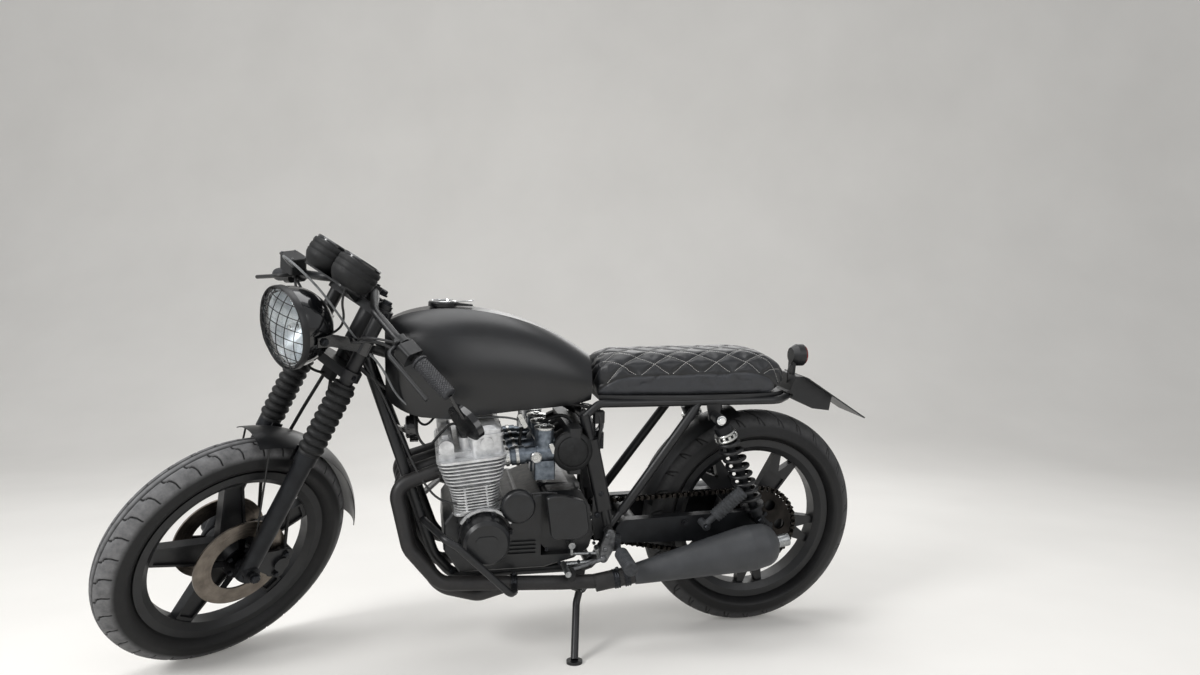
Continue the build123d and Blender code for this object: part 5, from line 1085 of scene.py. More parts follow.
LAMP_X, LAMP_Z = 1318, 928
lamp_place = facing((LAMP_X, 0, LAMP_Z), AHEAD, LEFT)
bowl = [(12 + 78 * t, -70 + 58 * t ** 2) for t in np.linspace(0, 1, 14)]
shaped(
    "lamp_reflector", [(lamp_place, bowl + [(91, -12), (91, -13.5), (12, -72)], 64, True)], [],
    reflector_coat, "headlight_shell", "steering", 60,
)
shaped(
    "lamp_bulb", [
        (lamp_place, [(0, -68), (11, -68), (11, -58), (8, -57), (8, -40), (0, -38)], 28),
        (lamp_place, [(0, -38), (6, -38), (7.5, -30), (7.5, -22), (5, -16), (0, -14)], 28),
    ], [], chromium_plate, "headlight_shell", "steering",
)
DOME_TURN, DOME_RISE, GLASS_RADIUS = 1.2, 10, 92.5
dome_low = cos(DOME_TURN)
dome = [
    (GLASS_RADIUS * sin(a) / sin(DOME_TURN), -1 + DOME_RISE * (cos(a) - dome_low) / (1 - dome_low))
    for a in np.linspace(0, DOME_TURN, 16)
]
lens = bmesh.new()
inside = [(r * 0.95, h - 4) for r, h in dome[-2::-1]]
turned_shape(lens, lamp_place, dome + [(GLASS_RADIUS, -7), (88, -7)] + inside, 72)
lens_mesh = mesh_of(lens)
flutes = lens_mesh.uv_layers.new(name="flutes")
for corner in lens_mesh.loops:
    co = lens_mesh.vertices[corner.vertex_index].co
    flutes.data[corner.index].uv = (co.y / 1000, co.z / 1000)
finished("lamp_lens", lens_mesh, lamp_glass, "headlight_lens", "steering", 40, ["headlight_lens"])

dial_tilt = radians(35)
dial_up = Vector((-sin(dial_tilt), 0, cos(dial_tilt)))
dial_flat = Vector((cos(dial_tilt), 0, sin(dial_tilt)))
dial_places = [facing(Vector((1172, y, 1065)) - dial_up * 36, dial_up, -dial_flat) for y in (57, -57)]
bezel = [(43.8, 70), (49.6, 70), (50, 74), (47, 77.2), (44.4, 75), (43.8, 72)]
for name, material, *form in (
    ("dial_cards", dial_card, [(0, 66.3), (43.4, 66.3), (43.4, 67), (0, 67)], 56),
    ("dial_bezels", gloss_enamel, bezel, 64, True),
    ("dial_glasses", dial_glass, [(0, 70.2), (43.6, 70.2), (43.6, 71.8), (0, 71.8)], 56),
):
    shaped(name, [(place, *form) for place in dial_places], [], material, "gauges", "steering")


def dial_turn(degrees, height=0.0):
    """A turn on the face of a dial, and a lift above it."""
    return Matrix.Rotation(radians(degrees), 4, "Z") @ Matrix.Translation((0, 0, height))


def dial_number(place, text, angle, radius, size):
    """A generic figure laid flat on a dial."""
    letters = bpy.data.curves.new("figure", "FONT")
    letters.body, letters.size, letters.extrude = text, size, 0.12
    letters.align_x = letters.align_y = "CENTER"
    mesh = plain_mesh(added("figure", letters))
    at = Matrix.Translation((radius * cos(angle), radius * sin(angle), 67.1))
    mesh.transform(place @ at @ Matrix.Rotation(-pi / 2, 4, "Z"))
    return mesh


prints = bmesh.new()
NEEDLE = [(-9, -1.6), (2, -1.8), (36, -0.5), (36, 0.5), (2, 1.8), (-9, 1.6)]
needle_plates = []
for place, rest, top in zip(dial_places, (-130, -140), (160, 8)):
    for i in range(41):
        long = 7 if i % 5 == 0 else 3.5
        mark = [(41 - long, -0.5), (41, -0.5), (41, 0.5), (41 - long, 0.5)]
        solid_outline(prints, place @ dial_turn(270 * i / 40 - 225, 67.02), mark, 0.3)
    needle_plates.append((place @ dial_turn(rest, 68.2), NEEDLE, 0.6))
    for i in range(9):
        prints.from_mesh(dial_number(place, str(i * top // 8), radians(225 - 270 * i / 8), 29.5, 7.5))
finished("dial_marks", prints, dial_print, "gauges", "steering")
hub = [(0, 67), (4.2, 67), (4.2, 69.4), (0, 69.8)]
shaped(
    "dial_needles", [(place, hub, 24) for place in dial_places], needle_plates, red_print, "gauges",
    "steering",
)

mirror_place = facing((1066, 398, 806), (-0.94, 0, 0.34), LEFT) @ Matrix.Translation((0, 0, 8.2))
oval = [(55 * cos(a), 37 * sin(a)) for a in np.linspace(0, 2 * pi, 64, endpoint=False)]
shaped("mirror_glass", [], [(mirror_place, oval, 1.2, 0.4)], silvering, "bar_end_mirror", "steering")


# Fasteners

bolt_shape, screw_shape = hex_bolt(), socket_screw()
CYLINDER_LEAN = radians(6)
cylinder_up = Vector((sin(CYLINDER_LEAN), 0, cos(CYLINDER_LEAN)))
cylinder_front = Vector((cos(CYLINDER_LEAN), 0, -sin(CYLINDER_LEAN)))
CRANK_X, CRANK_Z, CLUTCH_X, CLUTCH_Z = 797, 374, 640, 356


def engine_at(level, x=0.0, y=0.0):
    """A point level above the cylinders' deck, x in front of their middle."""
    return Vector((815, y, 437)) + cylinder_up * level + cylinder_front * x


cover_screws = []
for x, z, hand, start, r in (
    (CRANK_X, CRANK_Z, 1, 185, 65), (CRANK_X, CRANK_Z, -1, 185, 58), (CLUTCH_X, CLUTCH_Z, -1, 150, 86),
):
    for i in range(6):
        a = radians(12 + 60 * i)
        spot = (x + r * cos(a), hand * (start + 15.6), z - hand * r * sin(a))
        cover_screws.append((spot, LEFT * hand, 4.4))
for x, z in (
    (634, 458), (640, 334), (606, 295), (554, 295), (524, 312), (514, 344), (522, 415), (546, 458),
):
    cover_screws.append(((x, 193.6, z), LEFT, 4.4))
for y in (150, 50, -50, -150):
    cover_screws += [(engine_at(196.4, x, y), cylinder_up, 3.6) for x in (-85, 1)]
set_at_points("cover_screws", cover_screws, screw_shape, black_steel, "engine_covers")

FRAME_BOLTS = (
    ((459, 114.8, 351), 11), ((480, 114.8, 452), 8), ((488, 114.8, 392), 8),
    ((878, 122.6, 258), 8), ((29, 159.6, 368), 10), ((190, 166.6, 360), 8),
)
frame_bolts = [
    ((x, hand * y, z), LEFT * hand, size) for hand in HANDS for (x, y, z), size in FRAME_BOLTS
]
shock_bolts = [((162, hand * 159.6, 658), LEFT * hand, 11) for hand in HANDS]
set_at_points("shock_bolts", shock_bolts, bolt_shape, chromium_plate, "rear_shocks")
set_at_points("frame_bolts", frame_bolts, bolt_shape, black_steel, "frame")

fork_bolts = []
for hand in HANDS:
    side = LEFT * hand
    fork_bolts += [
        (fork_at(757, hand * LEG_Y), steering_axis, 12),
        (fork_at(784.6, hand * 30, 14), steering_axis, 4.5),
        (fork_at(784.6, hand * 30, -6), steering_axis, 4.5),
        (fork_at(560, hand * 121, 6), fork_forward, 6), (fork_at(732, hand * 119, 6), fork_forward, 6),
        (fork_at(-16, hand * 84.6, -100), side, 6.5), (fork_at(44, hand * 84.6, -100), side, 6.5),
        ((LAMP_X - 46, hand * 105.6, LAMP_Z), side, 9), (front_axle + side * 131.6, side, 12),
    ]
fork_bolts.append((fork_at(765, 0, -48.4), steering_axis, 17))
set_at_points("fork_bolts", fork_bolts, bolt_shape, black_steel, "fork_yokes", "steering")

disc_bolts = [
    (front_axle + Vector((36 * cos(a), hand * 63.2, 36 * sin(a))), LEFT * hand, 5.5)
    for hand in HANDS for a in [radians(38 + 72 * i) for i in range(5)]
]
set_at_points("disc_bolts", disc_bolts, bolt_shape, black_steel, "brake_discs", "front_wheel")
sprocket_nuts = [
    (rear_axle + Vector((38 * cos(a), 83.8, 38 * sin(a))), LEFT, 6)
    for a in np.linspace(0, 2 * pi, 6, endpoint=False)
]
set_at_points("sprocket_nuts", sprocket_nuts, bolt_shape, black_steel, "rear_sprocket", "rear_wheel")


# Three cables cross the steering head. Their points are drawn in the fork's frame as far as the head,
# and then in the upright frame.

to_bike = BIKE.inverted() @ FORK
HEAD_BEND = BIKE @ Vector((1120, 90, 900)), BIKE @ Vector((1010, 100, 700))
for name, radius, sheath, steered, fixed in (
    ("throttle_cable", 2.8, grey_sheath, (
        (1150, -228, 964), (1196, -190, 1000), (1262, -110, 1062), (1308, -20, 1100), (1306, 44, 1094),
        (1262, 74, 1040), (1196, 88, 938),
    ), (
        (1098, 112, 860), (1046, 120, 806), (1012, 108, 720), (930, 100, 664), (800, 92, 667),
        (712, 76, 660), (668, 44, 626), (655, 38, 596),
    )),
    ("clutch_cable", 3.0, cable_sheath, (
        (1160, 226, 958), (1196, 186, 962), (1192, 120, 930), (1158, 62, 862),
    ), (
        (1060, 92, 760), (1010, 112, 640), (962, 126, 520), (900, 168, 452), (760, 176, 470),
        (640, 168, 482), (610, 166, 474),
    )),
    ("main_loom", 6.0, cable_sheath, ((1216, 14, 902), (1180, 34, 880), (1150, 40, 820)), (
        (1050, 52, 742), (1000, 40, 712), (930, 24, 700),
    )),
):
    points = [to_bike @ Vector(p) for p in steered] + list(fixed)
    cable(name, points, radius, sheath, "bar_controls", between=HEAD_BEND)

# Plug leads run from the caps to two coils under the front of the tank
plug_way = cylinder_up * 0.93 + cylinder_front * 0.36
cap = [(0, -2), (15, -2), (15.5, 2), (12, 5), (9.5, 8), (9.5, 26), (8, 31), (5.5, 33), (5.5, 40)]
cap.append((0, 40))
caps = [(facing(engine_at(184, 10, y), plug_way.normalized()), cap, 28) for y in CYLINDERS]
shaped("plug_caps", caps, [], moulded_rubber, "cam_cover")
coils = [(Matrix.Translation((914, over * 22, 696)), rounded(76, 36, 9), 34, 2.5) for over in HANDS]
shaped("ignition_coils", [], coils, moulded_nylon, "air_box")


def plug_lead(y):
    """The points of a plug's lead, from the cap at y up to the coil on its side."""
    over = 1 if y > 0 else -1
    foot = engine_at(184, 10, y)
    points = [foot + plug_way * 34, foot + (cylinder_up * 0.9 + cylinder_front * 0.5) * 52]
    if abs(y) > 50:
        points += [(906, y + over * 8, 634), (938, y + over * 6, 594), (962, over * 96, 612)]
    return points + [(972, over * 56, 660), (962, over * 30, 690), (946, over * 18, 704)]


# Carburettors: round pump covers at the ends, caps with screws, float bowl drains and the pulley
port_back = engine_at(106, -98) + cylinder_up * 12
carb_way = -cylinder_front
carb_middle = port_back + carb_way * 92.3
carb_top, carb_bottom = carb_middle.z + 62.2, carb_middle.z - 70.4
carb_cap = [(0, 0), (26, 0), (27, 2), (27, 6), (22, 8.5), (9, 9.5), (7, 12), (0, 12.4)]
bowl_plug = [(0, 0), (13, 0), (13, 5), (8, 7), (8, 12), (5, 13), (0, 13)]
bright, dull, carb_screws = [], [], []
for y in CYLINDERS:
    top = Vector((carb_middle.x, y, carb_top))
    bright.append((facing(top, UP), carb_cap))
    carb_screws += [(top + Vector((21 * cos(a), 21 * sin(a), 8.4)), UP, 2.8) for a in (0.8, 0.8 + pi)]
    dull.append((facing((carb_middle.x, y, carb_bottom), -UP), bowl_plug, 24))
    carb_screws += [((carb_middle.x + dx, y + 17, carb_bottom - 0.2), -UP, 2.6) for dx in (-22, 22)]
    for at, r in ((20, 27.5), (-6, 25.5)):
        band = facing(port_back + carb_way * at + LEFT * y, carb_way)
        bright.append((band, [(r - 3, -4), (r, -4), (r, 4), (r - 3, 4)], 40, True))
pump_cover = [(0, 0), (15, 0), (15, 5), (13, 7), (11, 5.5), (9, 5.5), (8, 7.5), (4, 7.5), (3, 6)]
pump_cover.append((0, 6))
bright += [(facing((662, hand * 138, 566), LEFT * hand), pump_cover, 36) for hand in HANDS]
pump_arms = [
    (facing((619, hand * 136, 588), LEFT * hand, Vector((0.4, 0, 1))), rounded(30, 12, 5), 5, 1)
    for hand in HANDS
]
pulley = [(0, 0), (20, 0), (20, 2), (17, 3.5), (20, 5), (20, 7), (0, 7)]
dull.append((facing((655, 34, 594), LEFT), pulley, 40))
shaped("carburettor_tops", bright, pump_arms, machined_aluminium, "carburettors")
shaped("carburettor_bowl_plugs", dull, [], zinc_plate, "carburettors")
set_at_points("carburettor_screws", carb_screws, screw_shape, zinc_plate, "carburettors")

# Fuel tap: its lever with a round boss
shaped(
    "tap_lever", [(facing((692, 74, 650), LEFT), [(0, 0), (9, 0), (9, 10), (7, 11.5), (0, 11.5)], 24)],
    [(facing((692, 82, 652), LEFT, Vector((-0.5, 0, -1))), rounded(44, 13, 5), 5, 1.2)],
    machined_aluminium, "fuel_tap",
)

# Behind the left upright: a finned regulator and a relay
fins = [(Matrix.Translation((498, 40 + i * 5.4, 566)), rounded(62, 1.8, 0.8, 2), 46) for i in range(7)]
regulator = (Matrix.Translation((498, 56, 560)), rounded(46, 40, 5), 58, 2)
shaped("regulator", [], [regulator] + fins, grey_anodised, "air_box", sharp=30)
relay = (Matrix.Translation((484, 78, 640)), rounded(30, 24, 5), 34, 2)
shaped("relay", [], [relay], moulded_nylon, "air_box")

# Cables, hoses and wires, each fixed at both ends
choke_front, choke_back = carb_middle + Vector((22, 0, 30)), carb_middle + Vector((-30, 0, -8))
CABLES = [
    ("brake_line", 3.6, moulded_rubber, "brake_hoses", "steering", [
        (1158, -222, 962), (1196, -176, 962), (1206, -112, 930), fork_at(640, -52, 48),
        fork_at(570, -34, 58), fork_at(524, -16, 44), fork_at(516, -8, 10), fork_at(520, -6, -8),
    ]),
    ("gauge_drive", 3.0, cable_sheath, "gauges", "steering", [
        (1193, 57, 1034), (1205, 60, 1006), (1196, 66, 960), (1200, 50, 920), (1226, 30, 900),
    ]),
    ("choke_rod_left", 2.6, zinc_plate, "carburettors", "chassis", [
        choke_front + LEFT * y for y in (114, 0, 35)
    ]),
    ("choke_rod_right", 2.6, zinc_plate, "carburettors", "chassis", [
        choke_back + LEFT * y for y in (110, 0, -110)
    ]),
    ("fuel_hose", 4.5, moulded_rubber, "fuel_tap", "chassis", [
        (692, 64, 636), (693, 64, 616), (700, 76, 590), (690, 86, 562), (668, 80, 552), (648, 76, 556),
    ]),
    ("breather_hose", 5.0, moulded_rubber, "air_box", "chassis", [
        (640, 60, 640), (600, 64, 664), (560, 70, 656), (536, 76, 600), (530, 72, 500), (524, 78, 420),
    ]),
    ("side_loom", 5.0, cable_sheath, "air_box", "chassis", [
        (560, 60, 690), (520, 74, 688), (486, 86, 672), (478, 88, 640), (484, 84, 600), (492, 80, 540),
        (500, 84, 470),
    ]),
    ("relay_wire_1", 2.0, grey_sheath, "air_box", "chassis", [
        (512, 60, 690), (488, 66, 676), (478, 76, 650), (486, 80, 622), (496, 66, 616),
    ]),
    ("relay_wire_2", 2.0, grey_sheath, "air_box", "chassis", [
        (528, 50, 690), (476, 60, 684), (466, 72, 640), (476, 70, 600), (492, 62, 596),
    ]),
    ("tail_loom", 4.0, cable_sheath, "rear_frame", "chassis", [
        (470, 78, 690), (330, 82, 694), (180, 82, 692), (60, 78, 694), (-30, 52, 700), (-78, 22, 704),
    ]),
    ("tail_lamp_wire", 2.0, cable_sheath, "tail_light", "chassis", [
        (-112, 4, 788), (-100, 10, 784), (-92, 14, 762), (-96, 14, 738), (-92, 12, 716),
    ]),
    ("rear_brake_rod", 3.2, zinc_plate, "foot_controls", "chassis", [
        (470, -146, 306), (400, -140, 300), (200, -122, 292), (60, -112, 286), (6, -108, 272),
    ]),
]
for hand, label in zip(HANDS, ("left", "right")):
    CABLES.append((f"switch_loom_{label}", 3.4, cable_sheath, "bar_controls", "steering", [
        bar_at(150, hand, 14), bar_at(176, hand, 22, 8), (1176, hand * 168, 942),
        (1196, hand * 110, 912), (1214, hand * 62, 906), (1236, hand * 46, 908),
    ]))
for i, y in enumerate(CYLINDERS):
    CABLES.append((f"plug_lead_{i + 1}", 3.5, moulded_rubber, "cam_cover", "chassis", plug_lead(y)))
for name, radius, material, slot, body, points in CABLES:
    cable(name, points, radius, material, slot, body)

# Switch pods, filler lever, plate screws and the joints of the exhaust
buttons, pods, perches = [], [], []
for hand in HANDS:
    for at, drop, width, height, corner, depth, plates in (
        (132, -4, 10, 7, 2, 4, buttons), (148, -4, 8, 8, 3, 5, buttons), (140, 13, 22, 8, 3, 3, pods),
    ):
        ahead = -19.2 if plates is pods else -19
        place = facing(bar_at(at, hand, drop, ahead), (-1, 0, 0.1), inward(hand))
        plates.append((place, rounded(width, height, corner), depth, 1))
    perch = facing(bar_at(170, hand, -4, 16), (0.1, 0, 1), inward(hand))
    perches.append((perch, [(0, -9), (8, -9), (8, 8), (6, 10), (0, 10)], 24))
shaped("switch_buttons", [], buttons, grey_rubber, "bar_controls", "steering")
shaped("lever_pivots", perches, pods, moulded_nylon, "bar_controls", "steering")
cap_at = bar_at(176, -1) + Vector((24, 4, 52.2))
reservoir = (Matrix.Translation(cap_at), rounded(50, 66, 9), 5, 1.5)
shaped("reservoir_cap", [], [reservoir], moulded_nylon, "bar_controls", "steering")
cap_screws = [(cap_at + Vector((dx, dy, 5.2)), UP, 2.8) for dx in (-18, 18) for dy in (-26, 26)]
set_at_points("reservoir_screws", cap_screws, screw_shape, zinc_plate, "bar_controls", "steering")

ring_at = facing((896, 0, 960.4), UP)
shaped(
    "filler_lever", [(ring_at, [(27, 0), (34, -2), (35.2, 0.4), (32, 2.2), (28, 2.4)], 56, True)],
    [(facing((846, 0, 958.6), (0.09, 0, 1), Vector((1, 0, -0.09))), rounded(64, 18, 7), 3.4, 1.2)],
    chromium_plate, "fuel_cap", "fuel_cap",
)
lock = (ring_at, [(0, 0), (11, 0), (11, 2.4), (8, 3), (7.2, 1.8), (0, 1.8)], 32)
shaped("filler_lock", [lock], [], zinc_plate, "fuel_cap", "fuel_cap")

plate_up = Vector((-0.53, 0, 0.848)).normalized()
plate_along = Vector((-192, 0, -120)).normalized()
plate_screws = [
    (Vector((-128, y, 757)) + plate_along * at + plate_up * 0.6, plate_up, 5)
    for at in (26, 64) for y in (-40, 40)
]
set_at_points("plate_screws", plate_screws, bolt_shape, zinc_plate, "plate_bracket")

clamps, clamp_bolts, outlets = [], [], []
for hand in HANDS:
    for x, y, z, run, spread, rise, r in (
        (448, 185.8, 236.2, -80, 4, 15, 25.5), (420, 187, 242.2, -80, 4, 15, 26.5),
        (722, 174, 237.6, -310, 10, -14, 24),
    ):
        spot = Vector((x, hand * y, z))
        ribbed = [(r - 4, -8), (r, -8), (r + 1.4, -6), (r, -4), (r, -2), (r + 1.4, 0), (r, 2), (r, 4)]
        ribbed += [(r + 1.4, 6), (r, 8), (r - 4, 8)]
        clamps.append((facing(spot, (run, hand * spread, rise)), ribbed, 44, True))
        clamp_bolts.append((spot + Vector((0, hand * 3, r + 3)), LEFT * hand, 5))
    way = Vector((-400, hand * 19, 76)).normalized()
    outlet = [(14.2, -40), (17.6, -24), (17.6, 3), (16.8, 5.2), (15, 5.2), (14.2, 3)]
    outlets.append((facing(Vector((0, hand * 207, 322)) + way * 30, way), outlet, 44, True))
shaped("exhaust_clamps", clamps, [], black_steel, "exhaust_headers")
set_at_points("clamp_bolts", clamp_bolts, bolt_shape, black_steel, "exhaust_headers")
shaped("silencer_outlets", outlets, [], zinc_plate, "mufflers")

# Horn: pressed rings and a centre nut on its face
horn_rings = [(0, 0), (27, 0), (27, 1.5), (24, 2.6), (21, 1.2), (18, 2.6), (15, 1.2), (12, 2.6)]
horn_rings += [(7, 2.6), (6, 6), (0, 6)]
shaped("horn_face", [(facing((992.2, 22, 628), AHEAD), horn_rings)], [], zinc_plate, "horn")


# Larger fittings that the photograph shows round the engine, the pegs and the shocks


def soft_corners(corners, radius, steps=5):
    """An outline in x and z through corners, each rounded off, as drawn on a plate that faces left."""
    outline = []
    for i, corner in enumerate(corners):
        here = Vector(corner)
        before = here + (Vector(corners[i - 1]) - here).normalized() * radius
        after = here + (Vector(corners[(i + 1) % len(corners)]) - here).normalized() * radius
        for t in [j / steps for j in range(steps + 1)]:
            x, z = before * (1 - t) ** 2 + here * (2 * t * (1 - t)) + after * t ** 2
            outline.append((x, -z))
    return outline


base_ring = (facing(engine_at(-7.5), cylinder_up, cylinder_front), rounded(120, 344, 19), 7.2, 1.2)
shaped("cylinder_base_ring", [], [base_ring], cast_aluminium, "cylinder_block", sharp=30)
boot = [(20, -6), (28, -6), (29, -3), (28, 1), (30, 6), (35, 14), (37, 24), (37, 30), (20, 30)]
boots = [(facing(port_back + carb_way * 138.6 + LEFT * y, carb_way), boot, 40, True) for y in CYLINDERS]
shaped("intake_boots", boots, [], moulded_rubber, "air_box", sharp=50)
filter_end = [
    (0, -6), (52, -6), (54, -2), (54, 8), (50, 14), (42, 17), (40, 15), (36, 19), (12, 21), (0, 21),
]
for hand, label in zip(HANDS, ("left", "right")):
    end = facing((565, hand * 128, 578), (0, hand, 0.06))
    shaped(f"air_filter_end_{label}", [(end, filter_end, 56)], [], moulded_rubber, "air_box", sharp=50)


def ribs(count, pitch, *points):
    """Points of a profile repeated at every rib, their heights counted from its foot."""
    return [(r, 2 + i * pitch + rise) for i in range(count) for r, rise in points]


rider_peg = [(9, 0), (18.6, 0)] + ribs(12, 8.2, (18.6, 0), (17.2, 1.6), (17.2, 4.0), (18.6, 5.6))
rider_peg += [(18.6, 101), (16, 103.5), (0, 103.5)]
rear_peg = [(0, 0), (18.6, 0)] + ribs(12, 8.2, (19.4, 0), (17.6, 1.6), (17.6, 4.2), (19.4, 5.8))
rear_peg += [(19.4, 101), (16.5, 104), (0, 104)]
sleeves, struts = [], []
for hand in HANDS:
    sleeves.append((facing((440, hand * 204, 312), LEFT * hand), rider_peg, 32))
    start = Vector((192, hand * 158, 364))
    run = Vector((98, hand * 180, 462)) - start
    sleeves.append((facing(start + run * 0.26, run), rear_peg, 32))
    # Wide sleeves over the seat's struts, as stout as the photograph shows them
    foot = Vector((424, hand * 112, 392))
    run = Vector((206, hand * 99, 694)) - foot
    top = run.length - 10
    strut = [(0, 2), (10, 2), (13, 12), (13, top - 12), (10, top), (0, top)]
    struts.append((facing(foot, run), strut, 32))
shaped("peg_rubbers", sleeves, [], grey_rubber, "footrests", sharp=30)
shaped("seat_struts", struts, [], powder_coat, "rear_frame", sharp=40)

rings, notches = [], []
low_ring = [(13, 0.4), (31.6, 0.4), (32.6, 1.6), (32.6, 5), (31.6, 6.2), (13, 6.2)]
high_ring = [(13, 15), (28.6, 15), (29.4, 16), (29.4, 20), (28.4, 21), (13, 21)]
for y in SHOCK_YS:
    place = shock_at(shock_run.length - COIL_END, y)
    rings += [(place, low_ring, 48, True), (place, high_ring, 48, True)]
    for i in range(12):
        notch = place @ Matrix.Rotation(2 * pi * i / 12, 4, "Z") @ Matrix.Translation((28.6, 0, 5.8))
        notches.append((notch, rounded(7, 8.5, 1.5, 2), 9.5, 0.8))
shaped("spring_adjusters", rings, notches, machined_aluminium, "rear_shocks", sharp=30)

# Rubber cups round the instruments, with two shallow grooves
cup = [
    (47.2, 67), (52, 68), (54, 65.5), (54.6, 57), (53.4, 55.5), (53.4, 53), (54.8, 51.5), (55, 41),
    (53.8, 39.5), (53.8, 37), (54.8, 35.5), (53, 24), (46.5, 12), (40, 4), (36.5, 2), (47.2, 26),
]
cups = [(place, cup, 72, True) for place in dial_places]
shaped("gauge_cups", cups, [], moulded_rubber, "gauges", "steering", 50)

# The lamp's guard: a square mesh of thin wire, domed over the glass and welded to a rim
GUARD_EDGE, GUARD_BULGE, GUARD_PITCH, GUARD_WIRE, WIRE_SIDES = 101.0, 34.0, 26.0, 1.15, 8
guard_curve = (GUARD_EDGE ** 2 + (GUARD_BULGE - 2) ** 2) / (2 * (GUARD_BULGE - 2))


def bent_wire(bm, points, across):
    """A round wire through points in the lamp's frame that lie in a plane square to across."""
    rings = []
    for i, point in enumerate(points):
        onward = (points[min(i + 1, len(points) - 1)] - points[max(i - 1, 0)]).normalized()
        over = onward.cross(across)
        turns = [2 * pi * k / WIRE_SIDES for k in range(WIRE_SIDES)]
        spots = [point + (across * cos(a) + over * sin(a)) * GUARD_WIRE for a in turns]
        rings.append([bm.verts.new(lamp_place @ spot) for spot in spots])
    skin(bm, rings)


guard = bmesh.new()
rim = [(97.5, -12), (102, -12), (102.4, -2), (101.6, 4), (100, 5.5), (98.4, 4), (97.5, -2)]
turned_shape(guard, lamp_place, rim, 96, closed=True)
for across, onward, lift in ((AHEAD, LEFT, 0.0), (LEFT, AHEAD, 1.6)):
    for i in range(-3, 4):
        reach = sqrt(GUARD_EDGE ** 2 - (i * GUARD_PITCH) ** 2)
        points = []
        for t in np.linspace(-reach, reach, 23):
            spot = across * (i * GUARD_PITCH) + onward * float(t)
            height = GUARD_BULGE - lift - guard_curve + sqrt(guard_curve ** 2 - spot.length_squared)
            points.append(spot + UP * height)
        bent_wire(guard, points, across)
finished("lamp_guard", guard, powder_coat, "headlight_grille", "steering", 50, ["headlight_grille"])

# The moulded pan that closes the seat's underside down to the rails
pan_side = [(x, seat_half_at(x) - 11) for x in (-62, -50, -30, 0, 60, 150, 250, 340, 420, 486)]
pan = (Matrix.Translation((0, 0, 703)), pan_side + [(x, -y) for x, y in pan_side[::-1]], 15, 2)
shaped("seat_pan", [], [pan], moulded_nylon, "seat", sharp=40)

# The covers that the photograph shows behind the crankshaft's round one
round_cover = [(0, 0), (44, 0), (44, 14), (41, 19), (37, 21.5), (30, 22.5), (0, 23)]
boss = [(0, 0), (8.5, 0), (8.5, 15), (7, 17), (0, 17)]
bosses = [(facing((x, 182, z), LEFT), boss, 20) for x, z in ((683, 448), (735, 475), (738, 424))]
drive_cover = soft_corners([(644, 478), (600, 480), (540, 462), (528, 380), (552, 360), (628, 362)], 14)
shaped(
    "side_covers", [(facing((714, 180, 452), LEFT), round_cover, 48)] + bosses,
    [(facing((0, 186, 0), LEFT), drive_cover, 20, 2.5)], engine_enamel, "engine_covers",
)

# The gear lever's cast bracket, its bright arm and the rubber on its toe peg
bracket = soft_corners([(472, 374), (490, 330), (494, 282), (476, 278), (454, 318), (452, 366)], 9)
arm_start = Vector((484, 180, 292))
arm_run = Vector((570, 182, 267)) - arm_start
long = arm_run.length
arm = [(0, -8), (7.5, -6), (8, 0), (6, 8), (5.5, long - 6), (7, long), (0, long + 6)]
pins = [
    (facing((x, 180, z), LEFT), [(0, 0), (r, 0), (r, 4), (r - 2, 6), (0, 6)], 24)
    for x, z, r in ((472, 356, 8), (478, 318, 6.5), (484, 292, 9))
]
shaped(
    "gear_arm", [(facing(arm_start, arm_run), arm, 24)] + pins,
    [(facing((0, 172, 0), LEFT), bracket, 9, 2)], grey_casting, "foot_controls",
)
toe = [(0, -4), (9, -4), (11, 0)] + ribs(6, 7.5, (11.6, 0), (11.6, 3.5), (10.2, 4.6), (10.2, 6.4))
toe_place = facing((572, 182, 264), (0.1, 1, 0))
shaped(
    "gear_peg_rubber", [(toe_place, toe + [(11, 48), (8, 51), (0, 51)], 28)], [], moulded_rubber,
    "foot_controls",
)

# The bare machined lip that arches over the crankshaft's cover, below the cylinders
arc = [radians(a) for a in np.linspace(32, 152, 25)]
lip = [(76 * cos(a), -76 * sin(a)) for a in arc] + [(70 * cos(a), -70 * sin(a)) for a in arc[::-1]]
lip_place = facing((CRANK_X, 183, CRANK_Z), LEFT)
shaped("machined_lip", [], [(lip_place, lip, 9)], cast_aluminium, "crankcase")


# Camera, at the place and with the lens that the photograph was taken with
YAW, PITCH, ROLL = radians(-102.7266), radians(-2.1075), radians(-0.3004)
CAMERA_AT, LENS_MM, LENS_SHIFT = (0.269289, 2.190111, 0.826573), 24.0464, 0.032286
looking = Vector((cos(PITCH) * cos(YAW), cos(PITCH) * sin(YAW), sin(PITCH)))
right = Matrix.Rotation(ROLL, 3, looking) @ looking.cross(UP).normalized()
camera_data = bpy.data.cameras.new("photo_camera")
camera_data.lens = LENS_MM
camera_data.sensor_width = 36
camera_data.shift_y = LENS_SHIFT
camera = added("photo_camera", camera_data)
turned = Matrix((right, right.cross(looking), -looking)).transposed().to_4x4()
camera.matrix_world = Matrix.Translation(CAMERA_AT) @ turned
bpy.context.scene.camera = camera


# Floor and light

FLOOR_LIFT, SKY_LIFT, SKY_LIGHT = 0.16, 0.3, 0.36


def seen_by_eye(tree):
    """A value that is 1 for what the camera sees, straight, in a reflection or through glass."""
    path = put(tree, "ShaderNodeLightPath")
    seen = (path, "Is Camera Ray")
    for other in ("Is Glossy Ray", "Is Transmission Ray"):
        seen = (put(tree, MATH, {0: seen, 1: (path, other)}, operation="MAXIMUM"), "Value")
    return seen


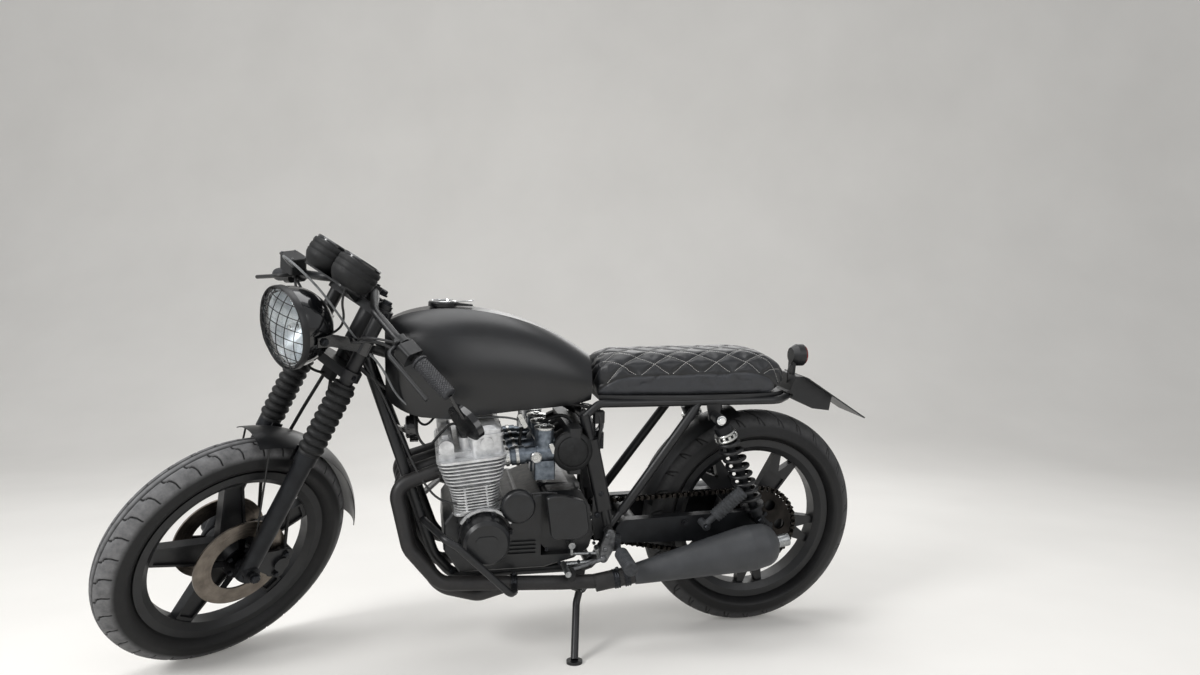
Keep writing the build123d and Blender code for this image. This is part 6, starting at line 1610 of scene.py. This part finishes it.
def floor_paint():
    """Painted studio floor: pale, matt and even, with very slight scuffing. It shows a little brighter
    to the camera and in reflections than the lamps leave it, and keeps the shadow."""
    material, tree, shader, place = new_material("matt_floor_paint")
    cloud = put(tree, NOISE, {"Vector": place, "Scale": 1000 / 900, "Detail": 4.0})
    tone = put(tree, RAMP, {"Fac": cloud}, ((0.3, "#e4e2de"), (0.7, "#eae8e4")))
    lift = put(tree, MATH, {0: seen_by_eye(tree), 1: FLOOR_LIFT}, operation="MULTIPLY")
    feed(shader, {
        "Base Color": tone, "Roughness": 0.85, "Emission Color": tone, "Emission Strength": lift,
    })
    return material


def studio_floor():
    """A pale floor that rises softly into a backdrop behind the motorcycle."""
    bend = [(3.0 + 3.0 * sin(radians(a)), 3.0 - 3.0 * cos(radians(a))) for a in range(0, 91, 9)]
    back = Vector((looking.x, looking.y, 0)).normalized()
    side = Vector((-back.y, back.x, 0))
    bm = bmesh.new()
    rows = []
    for run, height in [(-6.0, 0.0)] + bend + [(6.0, 9.0)]:
        rows.append([bm.verts.new(back * run + side * s * 12 + UP * height) for s in (-1, 1)])
    for a, b in zip(rows, rows[1:]):
        bm.faces.new((a[0], b[0], b[1], a[1]))
    mesh = mesh_of(bm)
    for face in mesh.polygons:
        face.use_smooth = True
    mesh.materials.append(floor_paint())
    added("floor", mesh)


def soft_light(name, at, size, watts, toward=(0.0, 0.0, 0.5)):
    """A large soft lamp at a place, facing the motorcycle."""
    data = bpy.data.lights.new(name, "AREA")
    data.shape = "RECTANGLE"
    data.size, data.size_y = size
    data.energy = watts
    turn_to = (Vector(toward) - Vector(at)).to_track_quat("-Z", "Y").to_matrix().to_4x4()
    added(name, data).matrix_world = Matrix.Translation(at) @ turn_to


studio_floor()
soft_light("key_light", (4.2, 2.6, 3.6), (1.8, 1.8), 185)
soft_light("fill_light", (-1.6, 3.4, 2.2), (3.0, 2.0), 34)
soft_light("top_light", (0.1, -0.2, 3.6), (3.2, 2.0), 55)
soft_light("rim_light", (-1.6, -3.0, 2.4), (3.0, 1.4), 30)
world = bpy.data.worlds.new("studio")
world.use_nodes = True
sky_seen = {0: seen_by_eye(world.node_tree), 1: SKY_LIFT, 2: SKY_LIGHT}
sky = (put(world.node_tree, MATH, sky_seen, operation="MULTIPLY_ADD"), "Value")
feed(world.node_tree.nodes["Background"], {"Color": srgb("#e9eaec"), "Strength": sky})
bpy.context.scene.world = world
bpy.context.scene.view_settings.view_transform = "Standard"

for made in shapes:
    bpy.data.objects.remove(made)
